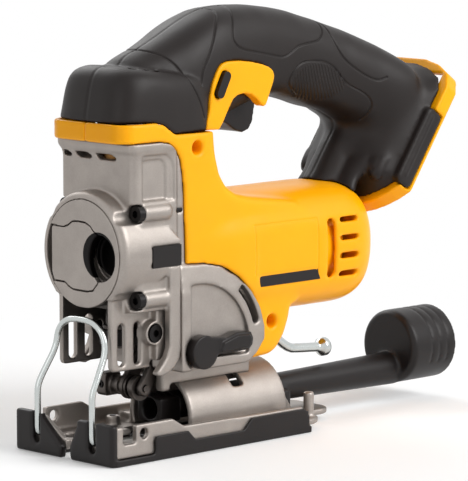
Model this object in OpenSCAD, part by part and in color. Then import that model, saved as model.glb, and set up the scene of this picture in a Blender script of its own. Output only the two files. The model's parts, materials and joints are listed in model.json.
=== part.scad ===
// Cordless jigsaw, D-handle form, without its battery.
// Frame: +Z up, the blade end points to -X, the side with the orbital lever is -Y.
// The origin lies on the sole plane, where the blade's axis crosses it.

/* [Shoe] */
// Width of the shoe casting over its side walls
shoe_w = 66; // [60:1:76]
// Distance from the blade axis to the front of the shoe cover
shoe_front = 35; // [33:1:42]
// Distance from the blade axis to the rear corners of the shoe
shoe_rear = 107; // [100:1:120]
// Height of the side walls at the front of the shoe
shoe_wall_h = 18; // [15:0.5:19]
// Thickness of the moulded cover under the shoe
cover_t = 3; // [2:0.5:3.5]
// Diameter of the guard wire
wire_d = 3; // [2:0.25:3.5]

/* [Bevel] */
// Outer radius of the bevel barrel
barrel_r = 21.8; // [20:0.2:23]
// Height of the bevel axis over the sole
barrel_z = 12.5; // [11:0.25:13]
// Length of the bevel barrel
barrel_len = 63; // [55:1:66]

/* [Gear tower] */
// Width of the front cover and gear case
case_w = 52; // [52:1:58]
// Wall of the castings
case_wall = 3; // [2.5:0.25:3.5]
// Radius of the round release disc
disc_r = 25.3; // [24:0.1:26]

/* [Drive] */
// Blade stroke
stroke = 26; // [18:1:26]
// Diameter of the plunger rod
plunger_d = 12; // [10:0.5:13]
// Teeth on the crank gear
gear_teeth = 56; // [50:2:56]
// Teeth on the motor pinion
pinion_teeth = 14; // [12:1:16]
// Gear module
gear_m = 0.75; // [0.6:0.05:0.75]
// Outer diameter of the motor can
can_d = 52; // [44:1:52]
// Diameter of the armature shaft
shaft_d = 8; // [6:0.5:8]

/* [Housing and handle] */
// Width of the motor housing
body_w = 61; // [58:1:74]
// Height of the motor housing
body_h = 60; // [58:1:66]
// Width of the handle where the hand closes round it
grip_w = 38; // [34:1:44]
// Wall of the moulded halves
shell_wall = 2.6; // [2:0.2:3]
// Width of the battery foot
foot_w = 69; // [64:1:80]
// Angle of the battery rails over the sole
slide_angle = 55; // [50:1:58]

/* [Dust spout] */
// Outer diameter of the dust tube
tube_d = 13.6; // [11:0.2:14]
// Outer diameter of the hose collar
collar_d = 37; // [34:0.5:40]
// Wall of the tube and collar
spout_wall = 1.8; // [1.4:0.1:2.2]

/* [Hidden] */
$fn = 48;

yellow = [0.99, 0.74, 0.10];
black = [0.20, 0.18, 0.18];
cast = [0.73, 0.71, 0.68];
zinc = [0.78, 0.80, 0.80];
steel = [0.60, 0.60, 0.62];
brass = [0.80, 0.65, 0.35];
copper = [0.72, 0.45, 0.25];

run = 0.05;      // radial clearance of a running fit
gap = 0.3;       // clearance between pieces that pass each other

// Gear tower
case_half = case_w / 2;
front_x = -13.5;                       // front face of the front cover
part_x = 13.5;                         // joint between front cover and gear case
tower_top = 146;                       // top of both castings
disc_z = 94.3;                         // centre of the release disc
screw_y = case_half - 1.6;             // cover screws, from the mid-plane
screw_rows = [disc_z - 20.7, disc_z + 19.5];
screw_shank = 1.4;
head_x = front_x + 5.3;                // seat of the cover screws' heads
ring_r = disc_r + 3.7;                 // ring round the release disc, and its side bosses
ring_half = case_half + 2.9;
disc_face = front_x - 9;

// Drive
motor_z = 87;                          // motor axis
crank_r = stroke / 2;
gear_pitch = gear_teeth * gear_m / 2;
pinion_pitch = pinion_teeth * gear_m / 2;
crank_z = motor_z + gear_pitch + pinion_pitch;
gear_x = 19;                           // front face of the crank gear
gear_t = 8;
bulkhead_x = 28.4;                     // bearing bulkhead inside the gear case
bulkhead_t = 5;
bearing_x = 31;
plunger_r = plunger_d / 2;
yoke_x = 7.5;
yoke_t = 7;
yoke_half_h = 8;
crank_pin_r = 4;
collar_z = 50;                         // blade clamp at mid-stroke
fan_x = 41;
can_x = 54;
can_len = 62;
rear_bearing_x = 131;
bearing_t = 7;

// Shoe
shoe_half = shoe_w / 2;
floor_z = cover_t;                     // underside of the casting
floor_t = 3;
floor_top = floor_z + floor_t;
barrel_x = 26;
barrel_end = barrel_x + barrel_len;
saddle_r = barrel_r + gap;
lug_rear = shoe_rear + 20;
lug_half = 17;

lever_t = 3.4;
lever_dz = -1.2;                       // middle of the release lever, from the disc centre
release_at = [disc_face + lever_t / 2, disc_r - 4.7];     // its upright hinge
release_pin_r = 0.9;
case_screw_at = [2.2, 57];

// Blade guide
roller_at = [10, 28];
roller_r = 6;
roller_half = 4.3;
fork_at = [21, 43];
fork_half = 7.5;
fork_pin_r = 2;

// Side lobes and orbital lever
lobe_half = case_half + 3.5;
lobe_z = 37.6;                         // underside of the lobes and of the yellow tail
orbit_at = [25, 46.5];
pocket_r = 31.8;
pocket_depth = 2.5;

// Bevel lever
bolt_x = 60.5;
lever_z = 46.5;                        // centre of its rod where it leaves the hub
bolt_r = 3;

// Battery foot, in its own frame: X along the rails, Z out of the tool's back
rail_lo = 168.5;
rail_hi = 255;
plate_z = -70;
plate_t = 8.5;
block_z = -45;
foot_half = foot_w / 2;
rail_half = 24;                        // battery channel, from the mid-plane
panel_s = [184, 226];                   // dark panels on the flanks of the battery plate
panel_n = 68.3;

// ---------- helpers ----------

// Extrudes a profile drawn in X and Z from y0 to y1.
module slab(y0, y1) {
  translate([0, y1, 0]) rotate([90, 0, 0]) linear_extrude(y1 - y0) children();
}

// Extrudes a profile drawn in Y and Z from x0 to x1.
module bar(x0, x1) {
  translate([x0, 0, 0]) rotate([90, 0, 90]) linear_extrude(x1 - x0) children();
}

// A rod from x0 to x1 along X, centred on y and z.
module rod_x(x0, x1, r, y = 0, z = 0, r2 = undef) {
  translate([x0, y, z]) rotate([0, 90, 0])
    cylinder(h = x1 - x0, r1 = r, r2 = is_undef(r2) ? r : r2);
}

// A rod from y0 to y1 along Y, centred on x and z.
module rod_y(y0, y1, r, x, z) {
  translate([x, y1, z]) rotate([90, 0, 0]) cylinder(h = y1 - y0, r = r);
}

module rod_z(z0, z1, r, x = 0, y = 0) {
  translate([x, y, z0]) cylinder(h = z1 - z0, r = r);
}

module both_sides() {
  children();
  mirror([0, 1, 0]) children();
}

// Repeats a piece above and below the middle of the release disc.
module above_below() {
  children();
  translate([0, 0, 2 * disc_z]) mirror([0, 0, 1]) children();
}

module box(x, y, z) {
  translate([x[0], y[0], z[0]]) cube([x[1] - x[0], y[1] - y[0], z[1] - z[0]]);
}

// A rectangle with round corners, from (x0, y0) to (x1, y1).
module rounded(x0, x1, y0, y1, r) {
  translate([x0 + r, y0]) square([x1 - x0 - 2 * r, y1 - y0]);
  translate([x0, y0 + r]) square([x1 - x0, y1 - y0 - 2 * r]);
  for (x = [x0 + r, x1 - r], y = [y0 + r, y1 - r]) translate([x, y]) circle(r);
}

// A straight bar with a round end at each of two points.
module link(a, b, r) {
  d = b - a;
  translate(a) {
    circle(r);
    rotate(atan2(d[1], d[0])) translate([0, -r]) square([norm(d), 2 * r]);
  }
  translate(b) circle(r);
}

// A round bar between two points in space.
module strut(a, b, r) {
  d = b - a;
  translate(a) rotate([0, acos(d[2] / norm(d)), atan2(d[1], d[0])]) cylinder(h = norm(d), r = r);
}

// A round bar swept along a path of points, as one closed skin.
module sweep(path, r, sides = 10) {
  n = len(path);
  function unit(v) = v / norm(v);
  function along(i) = unit(path[min(i + 1, n - 1)] - path[max(i - 1, 0)]);
  function across(i) = let (t = along(i), u = cross(t, [0.96, 0.02, 0.28])) unit(u);
  polyhedron(
    points = [for (i = [0 : n - 1]) let (a = across(i), b = cross(along(i), a))
      for (k = [0 : sides - 1]) path[i] + r * (cos(360 * k / sides) * a + sin(360 * k / sides) * b)],
    faces = concat(
      [[for (k = [0 : sides - 1]) k]],
      [[for (k = [sides - 1 : -1 : 0]) (n - 1) * sides + k]],
      [for (j = [0 : n - 2], k = [0 : sides - 1])
        let (m = (k + 1) % sides, a = j * sides) [a + k, a + sides + k, a + sides + m, a + m]]
    )
  );
}

function bend(v, e) = sign(v) * pow(abs(v), 2 / e);

// One cross-section of a moulding at x: a superellipse from bottom to top.
function section(s, inset, count) = [
  for (i = [0 : count - 1])
    let (a = 360 * i / count, half = (s[1] - s[2]) / 2 - inset)
      [s[0], (s[3] - inset) * bend(cos(a), s[4]), (s[1] + s[2]) / 2 + half * bend(sin(a), s[4])]
];

// Skins a row of closed rings into one solid.
module skin(rings) {
  last = len(rings) - 1;
  count = len(rings[0]);
  polyhedron(
    points = [for (ring = rings) each ring],
    faces = concat(
      [[for (i = [0 : count - 1]) i]],
      [[for (i = [count - 1 : -1 : 0]) last * count + i]],
      [for (j = [0 : last - 1], i = [0 : count - 1])
        let (k = (i + 1) % count, a = j * count) [a + i, a + count + i, a + count + k]],
      [for (j = [0 : last - 1], i = [0 : count - 1])
        let (k = (i + 1) % count, a = j * count) [a + i, a + count + k, a + k]]
    )
  );
}

// Skins a row of upright sections.
module loft(stations, inset = 0, count = 32) {
  skin([for (s = stations) section(s, inset, count)]);
}

// ---------- outlines shared by several pieces ----------

// Everything that the two castings of the gear tower take up, seen from the side.
module tower_outline() {
  polygon([
    [-40, tower_top], [3, tower_top], [8.5, 145], [12.5, 142], [15.3, 137.5], [16.8, 130],
    [17.6, 120], [18.6, 88], [29, 87.6], [40, 85.4], [50, 79.6], [58.5, 71.8], [64, 64],
    [67, 54.6], [67, 48], [62, 42], [56, 37.5], [56, 20], [-40, 20]
  ]);
}

// Seam between the yellow band and the black cap, seen from the side.
seam = [[-60, 155.3], [-1, 155.3], [5, 154], [12, 149.2], [46, 148.6]];

// What lies above the seam, and behind it what lies under the handle too.
module above_seam(handle) {
  polygon(concat(seam, handle ? [[46, 60], [260, 60], [260, 240]] : [[46, 240]], [[-60, 240]]));
}

// Column, band and tail of the yellow housing, seen from the side.
module column_outline() {
  polygon([
    [-21, 175], [38.5, 175], [38.5, 148], [39.5, 138], [42, 129], [46.5, 122.5], [53, 118.5],
    [62, 116.5], [95, 112], [95, 62], [89, 60.5], [88, 55.5], [84.5, 47], [79.5, 40.9],
    [75, 38.6], [60, lobe_z], [-21, lobe_z]
  ]);
}

// The round end of the motor housing, as [x, top, bottom, half width, squareness].
dome_x = 128;
dome_r = 25;
function dome(t) = pow(1 - pow(t, 2.3), 1 / 2.3);
function body_section(x, half, e) =
  let (f = x > dome_x ? dome((x - dome_x) / dome_r) : 1)
    [x, motor_z + body_h / 2 * f, motor_z - body_h / 2 * f, half * f, e];
body_stations = concat(
  [for (x = [22 : 13 : 48]) body_section(x, case_half + 0.9 + (body_w / 2 - case_half - 0.9) * (x - 22) / 26, 3)],
  [for (x = [74, 102, dome_x]) body_section(x, body_w / 2, 3)],
  [for (t = [0.3, 0.52, 0.7, 0.84, 0.93, 0.98, 0.999]) body_section(dome_x + t * dome_r, body_w / 2, 3 - t / 2)]
);

// Handle, as [x, top, bottom, half width, squareness].
cap_half = case_half;
grip_half = grip_w / 2;
handle_stations = [
  [-3, 176, 150, grip_half - 4, 2.6], [4, 184.6, 148, grip_half - 3, 2.6],
  [12.4, 187.4, 146, grip_half - 1.5, 2.6], [23, 192, 144, grip_half + 0.5, 2.7],
  [34, 197.4, 144.5, grip_half + 2.5, 2.9], [43, 201.4, 147, grip_half + 2.6, 2.9],
  [52, 204.2, 150.6, grip_half + 2, 2.8], [66, 205.6, 155, grip_half + 1.2, 2.7],
  [80, 205, 159, grip_half + 0.5, 2.6], [94, 203.5, 160.6, grip_half, 2.5],
  [106, 201, 157.6, grip_half, 2.5], [118, 197.6, 153.9, grip_half + 0.5, 2.5],
  [132, 193.4, 150.6, grip_half + 1.5, 2.6], [146, 189.1, 143.4, grip_half + 4.5, 2.7],
  [160, 183.6, 137, grip_half + 8, 2.9], [174, 176, 134, grip_half + 11, 3.1],
  [180, 173, 134, grip_half + 12, 3.2]
];

// Cap over the tower, as [height, front, half width, squareness, fall towards the rear].
cap_levels = [
  [138, -20.6, cap_half, 4.6, 0], [157, -20.2, cap_half, 4.6, 0], [165, -18.8, cap_half - 0.2, 4.6, 0.02],
  [171, -17.4, cap_half - 0.6, 4.5, 0.06], [175.2, -16, cap_half - 1.4, 4.3, 0.11],
  [178.2, -13.6, cap_half - 3, 4, 0.13], [179.8, -10, cap_half - 6.5, 3.6, 0.13],
  [180.4, -5, cap_half - 12, 3.2, 0.13]
];
cap_rear = 45;

// One level ring of the cap, narrower towards the rear.
function cap_ring(level, inset, count) = [
  for (i = [0 : count - 1])
    let (a = 360 * i / count, mid = (cap_rear + level[1]) / 2, long = (cap_rear - level[1]) / 2 - inset,
      x = mid + long * bend(cos(a), level[3]), slim = 4.4 * pow(max(0, x - 8) / 36, 2))
      [x, (level[2] - inset - slim) * bend(sin(a), level[3]), level[0] - level[4] * (x + 5)]
];

module cap_skin(inset, count) {
  last = len(cap_levels) - 1;
  skin([for (i = [0 : last])
    cap_ring(cap_levels[i] - [i == 0 ? -inset : i < last ? 0 : inset, 0, 0, 0, 0], inset, count)]);
}

module handle_skin(inset = 0) {
  loft(handle_stations, inset, 28);
  cap_skin(inset, 40);
}

// The battery foot's own frame, laid back at the angle of the rails.
module foot_frame() {
  rotate([0, -slide_angle, 0]) children();
}

// Block that carries the battery plate, and the round neck in front of it.
module foot_block(grow = 0) {
  r = 6;
  foot_frame() hull() {
    translate([0, 0, plate_z + plate_t - 0.4]) linear_extrude(1) plate_ring(3.4 - grow);
    for (side = [-1, 1]) {
      for (x = [rail_lo + 19, rail_hi - 29])
        translate([x, side * 21, block_z - r - 2.6]) sphere(r + grow, $fn = 16);
      translate([rail_hi - 16, side * 9, block_z - r - 5]) sphere(r + grow, $fn = 16);
    }
  }
}

// Outline of the battery plate: an arc below, chamfered corners above.
module plate_ring(inset = 0) {
  arc = 46 - inset;
  half = foot_half - inset;
  low = rail_lo + 46;
  high = rail_hi - inset;
  polygon(concat(
    [for (i = [-6 : 6]) let (y = i * half / 6) [low - sqrt(arc * arc - y * y), y]],
    [[high - 15, half], [high - 8, half - 3.5], [high - 3, half - 12.5], [high - 0.5, half - 23]],
    [[high - 0.5, 23 - half], [high - 3, 12.5 - half], [high - 8, 3.5 - half], [high - 15, -half]]
  ));
}

// The rounded rear end of the motor housing, grown a little.
module dome_room() {
  loft([for (i = [4 : len(body_stations) - 1]) body_stations[i]], -0.1, 28);
}

module foot_neck() {
  foot_frame() for (w = [[11.5, 1], [20, 0.45]])
    hull() for (x = [rail_lo - 14, rail_hi - 42])
      translate([x, 0, block_z - 3]) scale([5, w[0], 12.5 * w[1]]) sphere(1, $fn = 32);
}

// ---------- yellow housing ----------

module housing_outer() {
  r = 5;
  difference() {
    minkowski() {
      slab(-(case_half + 1 - r), case_half + 1 - r) offset(delta = -r) column_outline();
      sphere(r, $fn = 12);
    }
    crown_corners();
  }
  loft(body_stations, 0, 28);
}

module housing_cavity() {
  r = shell_wall;
  difference() {
    slab(-(case_half + 1 - r), case_half + 1 - r) offset(delta = -r) column_outline();
    crown_corners(shell_wall);
  }
  intersection() {
    loft(body_stations, shell_wall, 28);
    box([20, 151], [-60, 60], [40, 130]);
  }
}

// What lies outside the round front corners of the crown, drawn in by a wall.
module crown_corners(wall = 0) {
  r = 10.1 - wall;
  middle = [-11, 9 - case_half];
  both_sides() translate([0, 0, 138]) linear_extrude(24) polygon(concat(
    [[-30, middle[1]]],
    [for (a = [0 : 15 : 90]) middle - r * [cos(a), sin(a)]],
    [[middle[0], -40], [-30, -40]]
  ));
}

// Ring ribs that hold the motor, and the web that holds the rear bearing.
module motor_ribs() {
  for (x = [can_x + 4, can_x + can_len - 10])
    difference() {
      intersection() {
        box([x, x + 3], [-60, 60], [40, 130]);
        loft(body_stations, shell_wall / 2, 28);
      }
      rod_x(x - 1, x + 4, can_d / 2 + gap, 0, motor_z);
    }
  difference() {
    intersection() {
      box([rear_bearing_x, rear_bearing_x + bearing_t], [-60, 60], [40, 130]);
      loft(body_stations, shell_wall / 2, 28);
    }
    rod_x(rear_bearing_x - 1, rear_bearing_x + bearing_t + 1, 9.5 + gap / 3, 0, motor_z);
  }
}

// Screw posts of the clamshell, as [x, z, side of the screw's head].
housing_posts = [[26, 142, -1], [74.5, 55.3, -1], [122, 64, 1], [122, 110, 1], [145, 87, 1]];

module housing_posts_solid() {
  for (p = housing_posts)
    hull() {
      rod_y(-body_w / 2, body_w / 2, 3.6, p[0], p[1], $fn = 16);
      rod_y(p[2] < 0 ? -body_w / 2 : 13, p[2] < 0 ? -13 : body_w / 2, 4.6, p[0], p[1], $fn = 16);
    }
}

vent_rows = [100.3, 91.5, 82.7, 74];

// A slot with round ends, right through both sides of the housing.
module vent(a, b, r) {
  hull() for (p = [a, b]) rod_y(-60, 60, r, p[0], p[1], $fn = 12);
}

module housing_vents() {
  for (z = vent_rows) vent([118.8, z], [130, z], 1.2);
  vent([112, 75.2], [112, 99.2], 2.5);
}

// The dark band under the label panel.
module band_outline() {
  polygon([[64.5, 73], [104.3, 73], [102.5, 78.6], [62, 78.6]]);
}

module housing_half(side) {
  intersection() {
    translate([-60, side > 0 ? 0 : -100, 0]) cube([300, 100, 240]);
    difference() {
      union() {
        difference() {
          housing_outer();
          housing_cavity();
        }
        intersection() {
          housing_outer();
          union() {
            motor_ribs();
            housing_posts_solid();
          }
        }
      }
      slab(-60, 60) tower_outline();
      slab(-60, 60) above_seam(false);
      housing_vents();
      for (p = housing_posts) {
        rod_y(-16, 16, 1.6, p[0], p[1], $fn = 12);
        rod_y(p[2] < 0 ? -60 : 14, p[2] < 0 ? -14 : 60, 3.3, p[0], p[1], $fn = 16);
      }
      both_sides() {
        box([61.5, 104.5], [-body_w / 2 - 1, 0.6 - body_w / 2], [72.7, 101.7]);
        slab(-body_w / 2 - 1, 1.6 - body_w / 2) band_outline();
      }
      bevel_lever_slot();
      box([24, 72.2], [-14.2, 14.2], [20, lobe_z + 1.2]);
      rod_z(20, 60, bolt_r + 1, bolt_x);
    }
  }
}

// Room that the bevel lever sweeps, from straight back to the tool's right side.
module bevel_lever_slot() {
  h = 3.4;
  translate([bolt_x, 0, lever_z - h]) {
    rotate_extrude(angle = 30) square([60, 2 * h]);
    for (a = [0, 30]) rotate(a) translate([0, -h, 0]) cube([60, 2 * h, 2 * h]);
  }
}

module left_housing() { color(yellow) housing_half(-1); }
module right_housing() { color(yellow) housing_half(1); }

// ---------- black overmould ----------

module handle_cavity() {
  intersection() {
    handle_skin(shell_wall + 0.4);
    box([-17, 170], [-60, 60], [100, 230]);
  }
}

switch_box = [[50, 84], [-12.5, 12.5], [168, 192]];
module_box = [[98, 124], [-11, 11], [168, 186]];

// Cradles inside the handle for the switch and the speed module.
module handle_cradles() {
  for (b = [switch_box, module_box], x = [b[0][0] + 3, b[0][1] - 5])
    difference() {
      box([x, x + 2], [-60, 60], [140, 230]);
      box([x - 1, x + 3], [b[1][0] - gap, b[1][1] + gap], [b[2][0] - gap, b[2][1] + gap]);
    }
}

module handle_half(side) {
  intersection() {
    translate([-60, side > 0 ? 0 : -100, 0]) cube([300, 100, 240]);
    slab(-60, 60) above_seam(true);
    difference() {
      union() {
        difference() {
          handle_skin();
          handle_cavity();
        }
        intersection() {
          handle_skin(1);
          union() {
            handle_cradles();
            for (p = handle_posts) {
              rod_y(-60, 60, 3.6, p[0], p[1], $fn = 20);
              rod_y(12.5, 60, 4.6, p[0], p[1], $fn = 20);
            }
          }
        }
      }
      foot_block(0.02);
      both_sides() slab(-60, 3.1 - grip_half) offset(delta = 0.05) plate_outline();
      foot_frame() box([0, 400], [-60, 60], [-140, block_z - 6]);
      slab(-trigger_half - gap, trigger_half + gap) offset(delta = gap) trigger_room();
      slab(-60, 60) lock_outline(2.6);
      for (p = handle_posts) {
        rod_y(-12, 60, 1.6, p[0], p[1], $fn = 12);
        rod_y(14, 60, 3.3, p[0], p[1], $fn = 20);
      }
    }
  }
}

handle_posts = [[91, 181], [134, 170], [160, 158]];

module left_overmould() { color(black) handle_half(-1); }
module right_overmould() { color(black) handle_half(1); }

// ---------- switch plate, trigger and lock-off button ----------

trigger_half = 9;
trigger_dir = [0.3, 0, 0.954];
trigger_travel = 5;

module plate_outline() {
  polygon([
    [35.8, 148.86], [36.6, 153], [38.2, 158.5], [38.6, 164], [40.4, 170.5], [42.6, 175], [44.8, 178],
    [47, 179.6], [50, 180.3], [58, 180.3], [66, 179.3], [73, 177.8], [77.5, 176.2], [80, 174.4],
    [80.8, 171.8], [80.2, 169.2], [77.6, 163.6], [75.4, 158.6], [73.9, 157.7], [72.4, 158.4],
    [69, 161.8], [65.5, 163.9], [61, 164.8], [56.5, 164.2], [53.6, 162.4], [50.6, 158], [47.2, 152.2],
    [44.6, 148.75]
  ]);
}

module trigger_outline() {
  polygon([
    [55, 151.5], [57.5, 156.5], [57.5, 166], [80, 166], [80, 157], [78.6, 149.5], [76, 145.8],
    [72, 144.6], [67.5, 145.8], [62, 149.3], [58, 151]
  ]);
}

// Room for the trigger at rest and pressed.
module trigger_room() {
  hull() {
    trigger_outline();
    translate([trigger_dir[0], trigger_dir[2]] * trigger_travel) trigger_outline();
  }
}

module lock_outline(r) {
  hull() {
    translate([44, 165.8]) circle(r, $fn = 20);
    translate([48, 173.6]) circle(r, $fn = 20);
  }
}

module switch_plates() {
  color(yellow) both_sides() difference() {
    slab(-grip_half - 3, -grip_half + 3) plate_outline();
    slab(-60, 60) lock_outline(2.6);
  }
}

module trigger() {
  color(black) union() {
    slab(-trigger_half, trigger_half) trigger_outline();
    rod_z(165, 167.5, 3, 66);
  }
}

module trigger_spring() {
  color(steel) translate([66, 0, 167.8]) rotate_extrude() translate([4.2, 0]) square([1.2, 4.6]);
}

module lock_button() {
  color(black) slab(-grip_half - 4.6, grip_half + 1.6) lock_outline(2.3);
}

module switch_body() {
  color(black) difference() {
    box(switch_box[0], switch_box[1], switch_box[2]);
    slab(-60, 60) lock_outline(2.9);
    slab(-trigger_half - 1, trigger_half + 1) offset(delta = 0.8) trigger_room();
    rod_z(160, 172.45, 6.4, 67);
  }
}

module speed_module() {
  color(steel) difference() {
    box(module_box[0], module_box[1], module_box[2]);
    for (i = [0 : 4])
      box([module_box[0][0] + 3 + 4.6 * i, module_box[0][0] + 5 + 4.6 * i], [-60, 60],
        [module_box[2][1] - 3, module_box[2][1] + 1]);
  }
}

// ---------- battery foot ----------

// Raised panels along the flanks, over the edges of the battery plate.
module foot_panels() {
  foot_frame() both_sides() {
    hull() for (x = [panel_s[0] + 3, panel_s[1] - 3], z = [-panel_n + 3, -60.5])
      translate([x, -foot_half + 2, z]) rotate([90, 0, 0]) cylinder(h = 3.6, r = 3, center = true, $fn = 24);
    hull() for (x = [panel_s[0] + 5, panel_s[1] - 4])
      translate([x, -foot_half + 0.4, -61.5]) sphere(1, $fn = 10);
  }
}

// Round ridges along the front edges of the block.
module foot_ridges() {
  foot_frame() both_sides() hull() for (x = [rail_lo + 14, rail_hi - 26])
    translate([x, -24.6, block_z - 7.4]) sphere(3, $fn = 16);
}

module battery_foot() {
  color(black) difference() {
    union() {
      difference() {
        foot_block();
        foot_frame() box([rail_lo - 30, rail_hi + 30], [-60, 60], [plate_z - 10, plate_z + plate_t]);
      }
      foot_panels();
      difference() {
        union() {
          foot_neck();
          foot_ridges();
        }
        loft(handle_stations, -0.02, 28);
      }
    }
    loft(body_stations, -0.1, 28);
    foot_frame() {
      box([rail_lo + 15, rail_hi - 27], [-23, 23], [plate_z - 1, plate_z + 16]);
    }
  }
}

module battery_plate() {
  color(yellow) difference() {
    battery_plate_blank();
    dome_room();
  }
}

module battery_plate_blank() {
  foot_frame() difference() {
    translate([0, 0, plate_z]) linear_extrude(plate_t) plate_ring();
    box([rail_lo + 15, rail_hi - 8], [-rail_half, rail_half], [plate_z - 1, plate_z + plate_t + 1]);
    box([rail_lo + 15, rail_hi - 8], [-rail_half - 3.5, rail_half + 3.5],
      [plate_z + 3, plate_z + plate_t + 1]);
    box([rail_lo + 15, rail_hi + 5], [-rail_half, rail_half], [plate_z - 1, plate_z + 5]);
    box([rail_lo + 15, rail_hi + 5], [-rail_half - 3.5, rail_half + 3.5], [plate_z + 3, plate_z + 5]);
    box([rail_lo + 3, rail_lo + 10], [-6, 6], [plate_z - 1, plate_z + 4]);
    both_sides() box([panel_s[0] - 0.2, panel_s[1] + 0.2], [-foot_half - 1, -foot_half + 3.85],
      [-panel_n - 0.05, plate_z + plate_t + 1]);
  }
}

module terminal_block() {
  color(black) foot_frame() difference() {
    box([rail_lo + 15.1, rail_lo + 27], [-22, 22], [plate_z + 3, plate_z + 15.9]);
    for (i = [-2 : 2])
      box([rail_lo + 22, rail_lo + 28], [7 * i - 2, 7 * i + 2], [plate_z + 5, plate_z + 15]);
  }
}

module terminal_blades() {
  color(brass) foot_frame() for (i = [-2 : 2])
    box([rail_lo + 22, rail_lo + 39], [7 * i - 0.4, 7 * i + 0.4], [plate_z + 7, plate_z + 14]);
}

// ---------- gear tower ----------

// Front view of the castings above their skirts.
module tower_face() {
  rounded(-case_half, case_half, 68, tower_top, 4);
}

// Side lobes of the gear case, seen from the side.
module lobe_outline() {
  intersection() {
    union() {
      translate(orbit_at) circle(15);
      polygon([
        [part_x, 44], [part_x, 88], [29, 87.6], [40, 85.4], [50, 79.6], [58.5, 71.8], [64, 64],
        [67, 54.6], [67, 48], [62, 42], [56, lobe_z], [part_x, lobe_z]
      ]);
    }
    translate([part_x, lobe_z]) square([80, 80]);
  }
}

// Cuts the rear top corners of the castings to the edge of the yellow column.
module corner_trim() {
  both_sides() slab(-60, -case_half + 1.7) polygon([
    [3, tower_top + 1], [3, tower_top], [8.4, 144.9], [12.4, 141.9], [15.2, 137.4], [16.7, 129.9],
    [17.5, 120], [18.5, 90], [40, 90], [40, 170], [3, 170]
  ]);
}

// Recess in which the orbital lever swings.
module pocket_outline() {
  translate(orbit_at) {
    circle(9.2);
    intersection() {
      circle(pocket_r);
      polygon([[-5.5, -3], [0, -3], [50, -4.6], [50, 60], [-5.5, 60]]);
    }
  }
}

module arc_vent() {
  translate(orbit_at) intersection() {
    difference() {
      circle(40);
      circle(36);
    }
    polygon([[0, 0], [60, 16], [60, 64]]);
  }
}

module gear_case() {
  color(cast) difference() {
    union() {
      bar(part_x, 18.4) tower_face();
      box([part_x, 18.4], [-22, 22], [44, 70]);
      box([17, bulkhead_x + bulkhead_t], [-23.8, 23.8], [60, crank_z + gear_pitch + 2.2]);
      rod_x(bulkhead_x, bearing_x + bearing_t, 14.5, 0, motor_z);
      intersection() {
        slab(-lobe_half, lobe_half) lobe_outline();
        bar(0, 80) polygon([
          [-lobe_half, 41], [-lobe_half + 2.5, 20], [lobe_half - 2.5, 20], [lobe_half, 41],
          [lobe_half, 74], [case_half + 1, 92], [-case_half - 1, 92], [-lobe_half, 74]
        ]);
      }
      box([24.5, 72], [-14, 14], [26, lobe_z + 1]);
      both_sides() box([fork_at[0] - 5.7, 26], [8.6, 14], [26.5, 44]);
    }
    rod_x(part_x - 1, bulkhead_x, gear_pitch + gear_m + gap, 0, crank_z);
    rod_x(part_x - 1, bulkhead_x, pinion_pitch + gear_m + 2, 0, motor_z);
    rod_x(bulkhead_x - 1, bearing_x + 1, 7, 0, motor_z);
    rod_x(bearing_x, 60, 11.02, 0, motor_z);
    rod_x(bulkhead_x - 1, bulkhead_x + 10, 3, 0, crank_z);
    box([part_x - 1, 30], [-18, 18], [53, 75]);
    box([part_x - 1, yoke_x + yoke_t + 0.5], [-20.5, 20.5],
      [crank_z - yoke_half_h - stroke / 2 - 1, crank_z + yoke_half_h + stroke / 2 + 1]);
    rod_x(bearing_x + bearing_t, can_x - 1, 24.5, 0, motor_z);
    rod_x(can_x - 2, 80, can_d / 2 + gap, 0, motor_z);
    slab(-lobe_half + case_wall, lobe_half - case_wall)
      polygon([[40, 55], [40, 84], [48, 77.5], [56, 70], [61, 63], [63.5, 55]]);
    box([part_x - 1, fork_at[0] + 6], [-8, 8], [20, 49]);
    rod_y(-14.5, 14.5, fork_pin_r + 0.02, fork_at[0], fork_at[1]);
    rod_y(-lobe_half - 1, -15, 4 + run, orbit_at[0], orbit_at[1]);
    slab(-lobe_half - 1, -lobe_half + pocket_depth) pocket_outline();
    both_sides() slab(-lobe_half - 1, -lobe_half + case_wall + 1) arc_vent();
    bevel_lever_slot();
    corner_trim();
    rod_z(lever_z - 4.2, lever_z + 6.8, 8.5, bolt_x);
    rod_z(20, lever_z, bolt_r + 0.02, bolt_x);
    rod_x(20, 100, saddle_r, 0, barrel_z);
    for (side = [-1, 1], z = screw_rows)
      rod_x(10, 17.4, screw_shank + 0.02, side * screw_y, z, $fn = 24);
  }
}

// Plan of the cover above its skirts, grown in front and at the sides.
function cover_plan(front = 0, side = 0) = let (h = case_half + side, x = front_x - front) [
  [part_x, h], [x + 4.6, h], [x + 2.6, h - 0.5], [x + 1, h - 1.5], [x, h - 3.2],
  [x, 3.2 - h], [x + 1, 1.5 - h], [x + 2.6, 0.5 - h], [x + 4.6, -h], [part_x, -h]
];

// Tower part of the cover, with its rim that flares out under the crown.
module cover_block() {
  levels = [[68, 0, 0], [138.4, 0, 0], [140.6, 0.5, 0.3], [143, 2, 1.2], [tower_top, 2.2, 1.3]];
  skin([for (l = levels) [for (p = cover_plan(l[1], l[2])) [p[0], p[1], l[0]]]]);
}

// Turns a profile of [radius, x] round the release disc's axis.
module round_disc() {
  translate([0, 0, disc_z]) rotate([0, 90, 0]) rotate_extrude() children();
}

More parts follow.
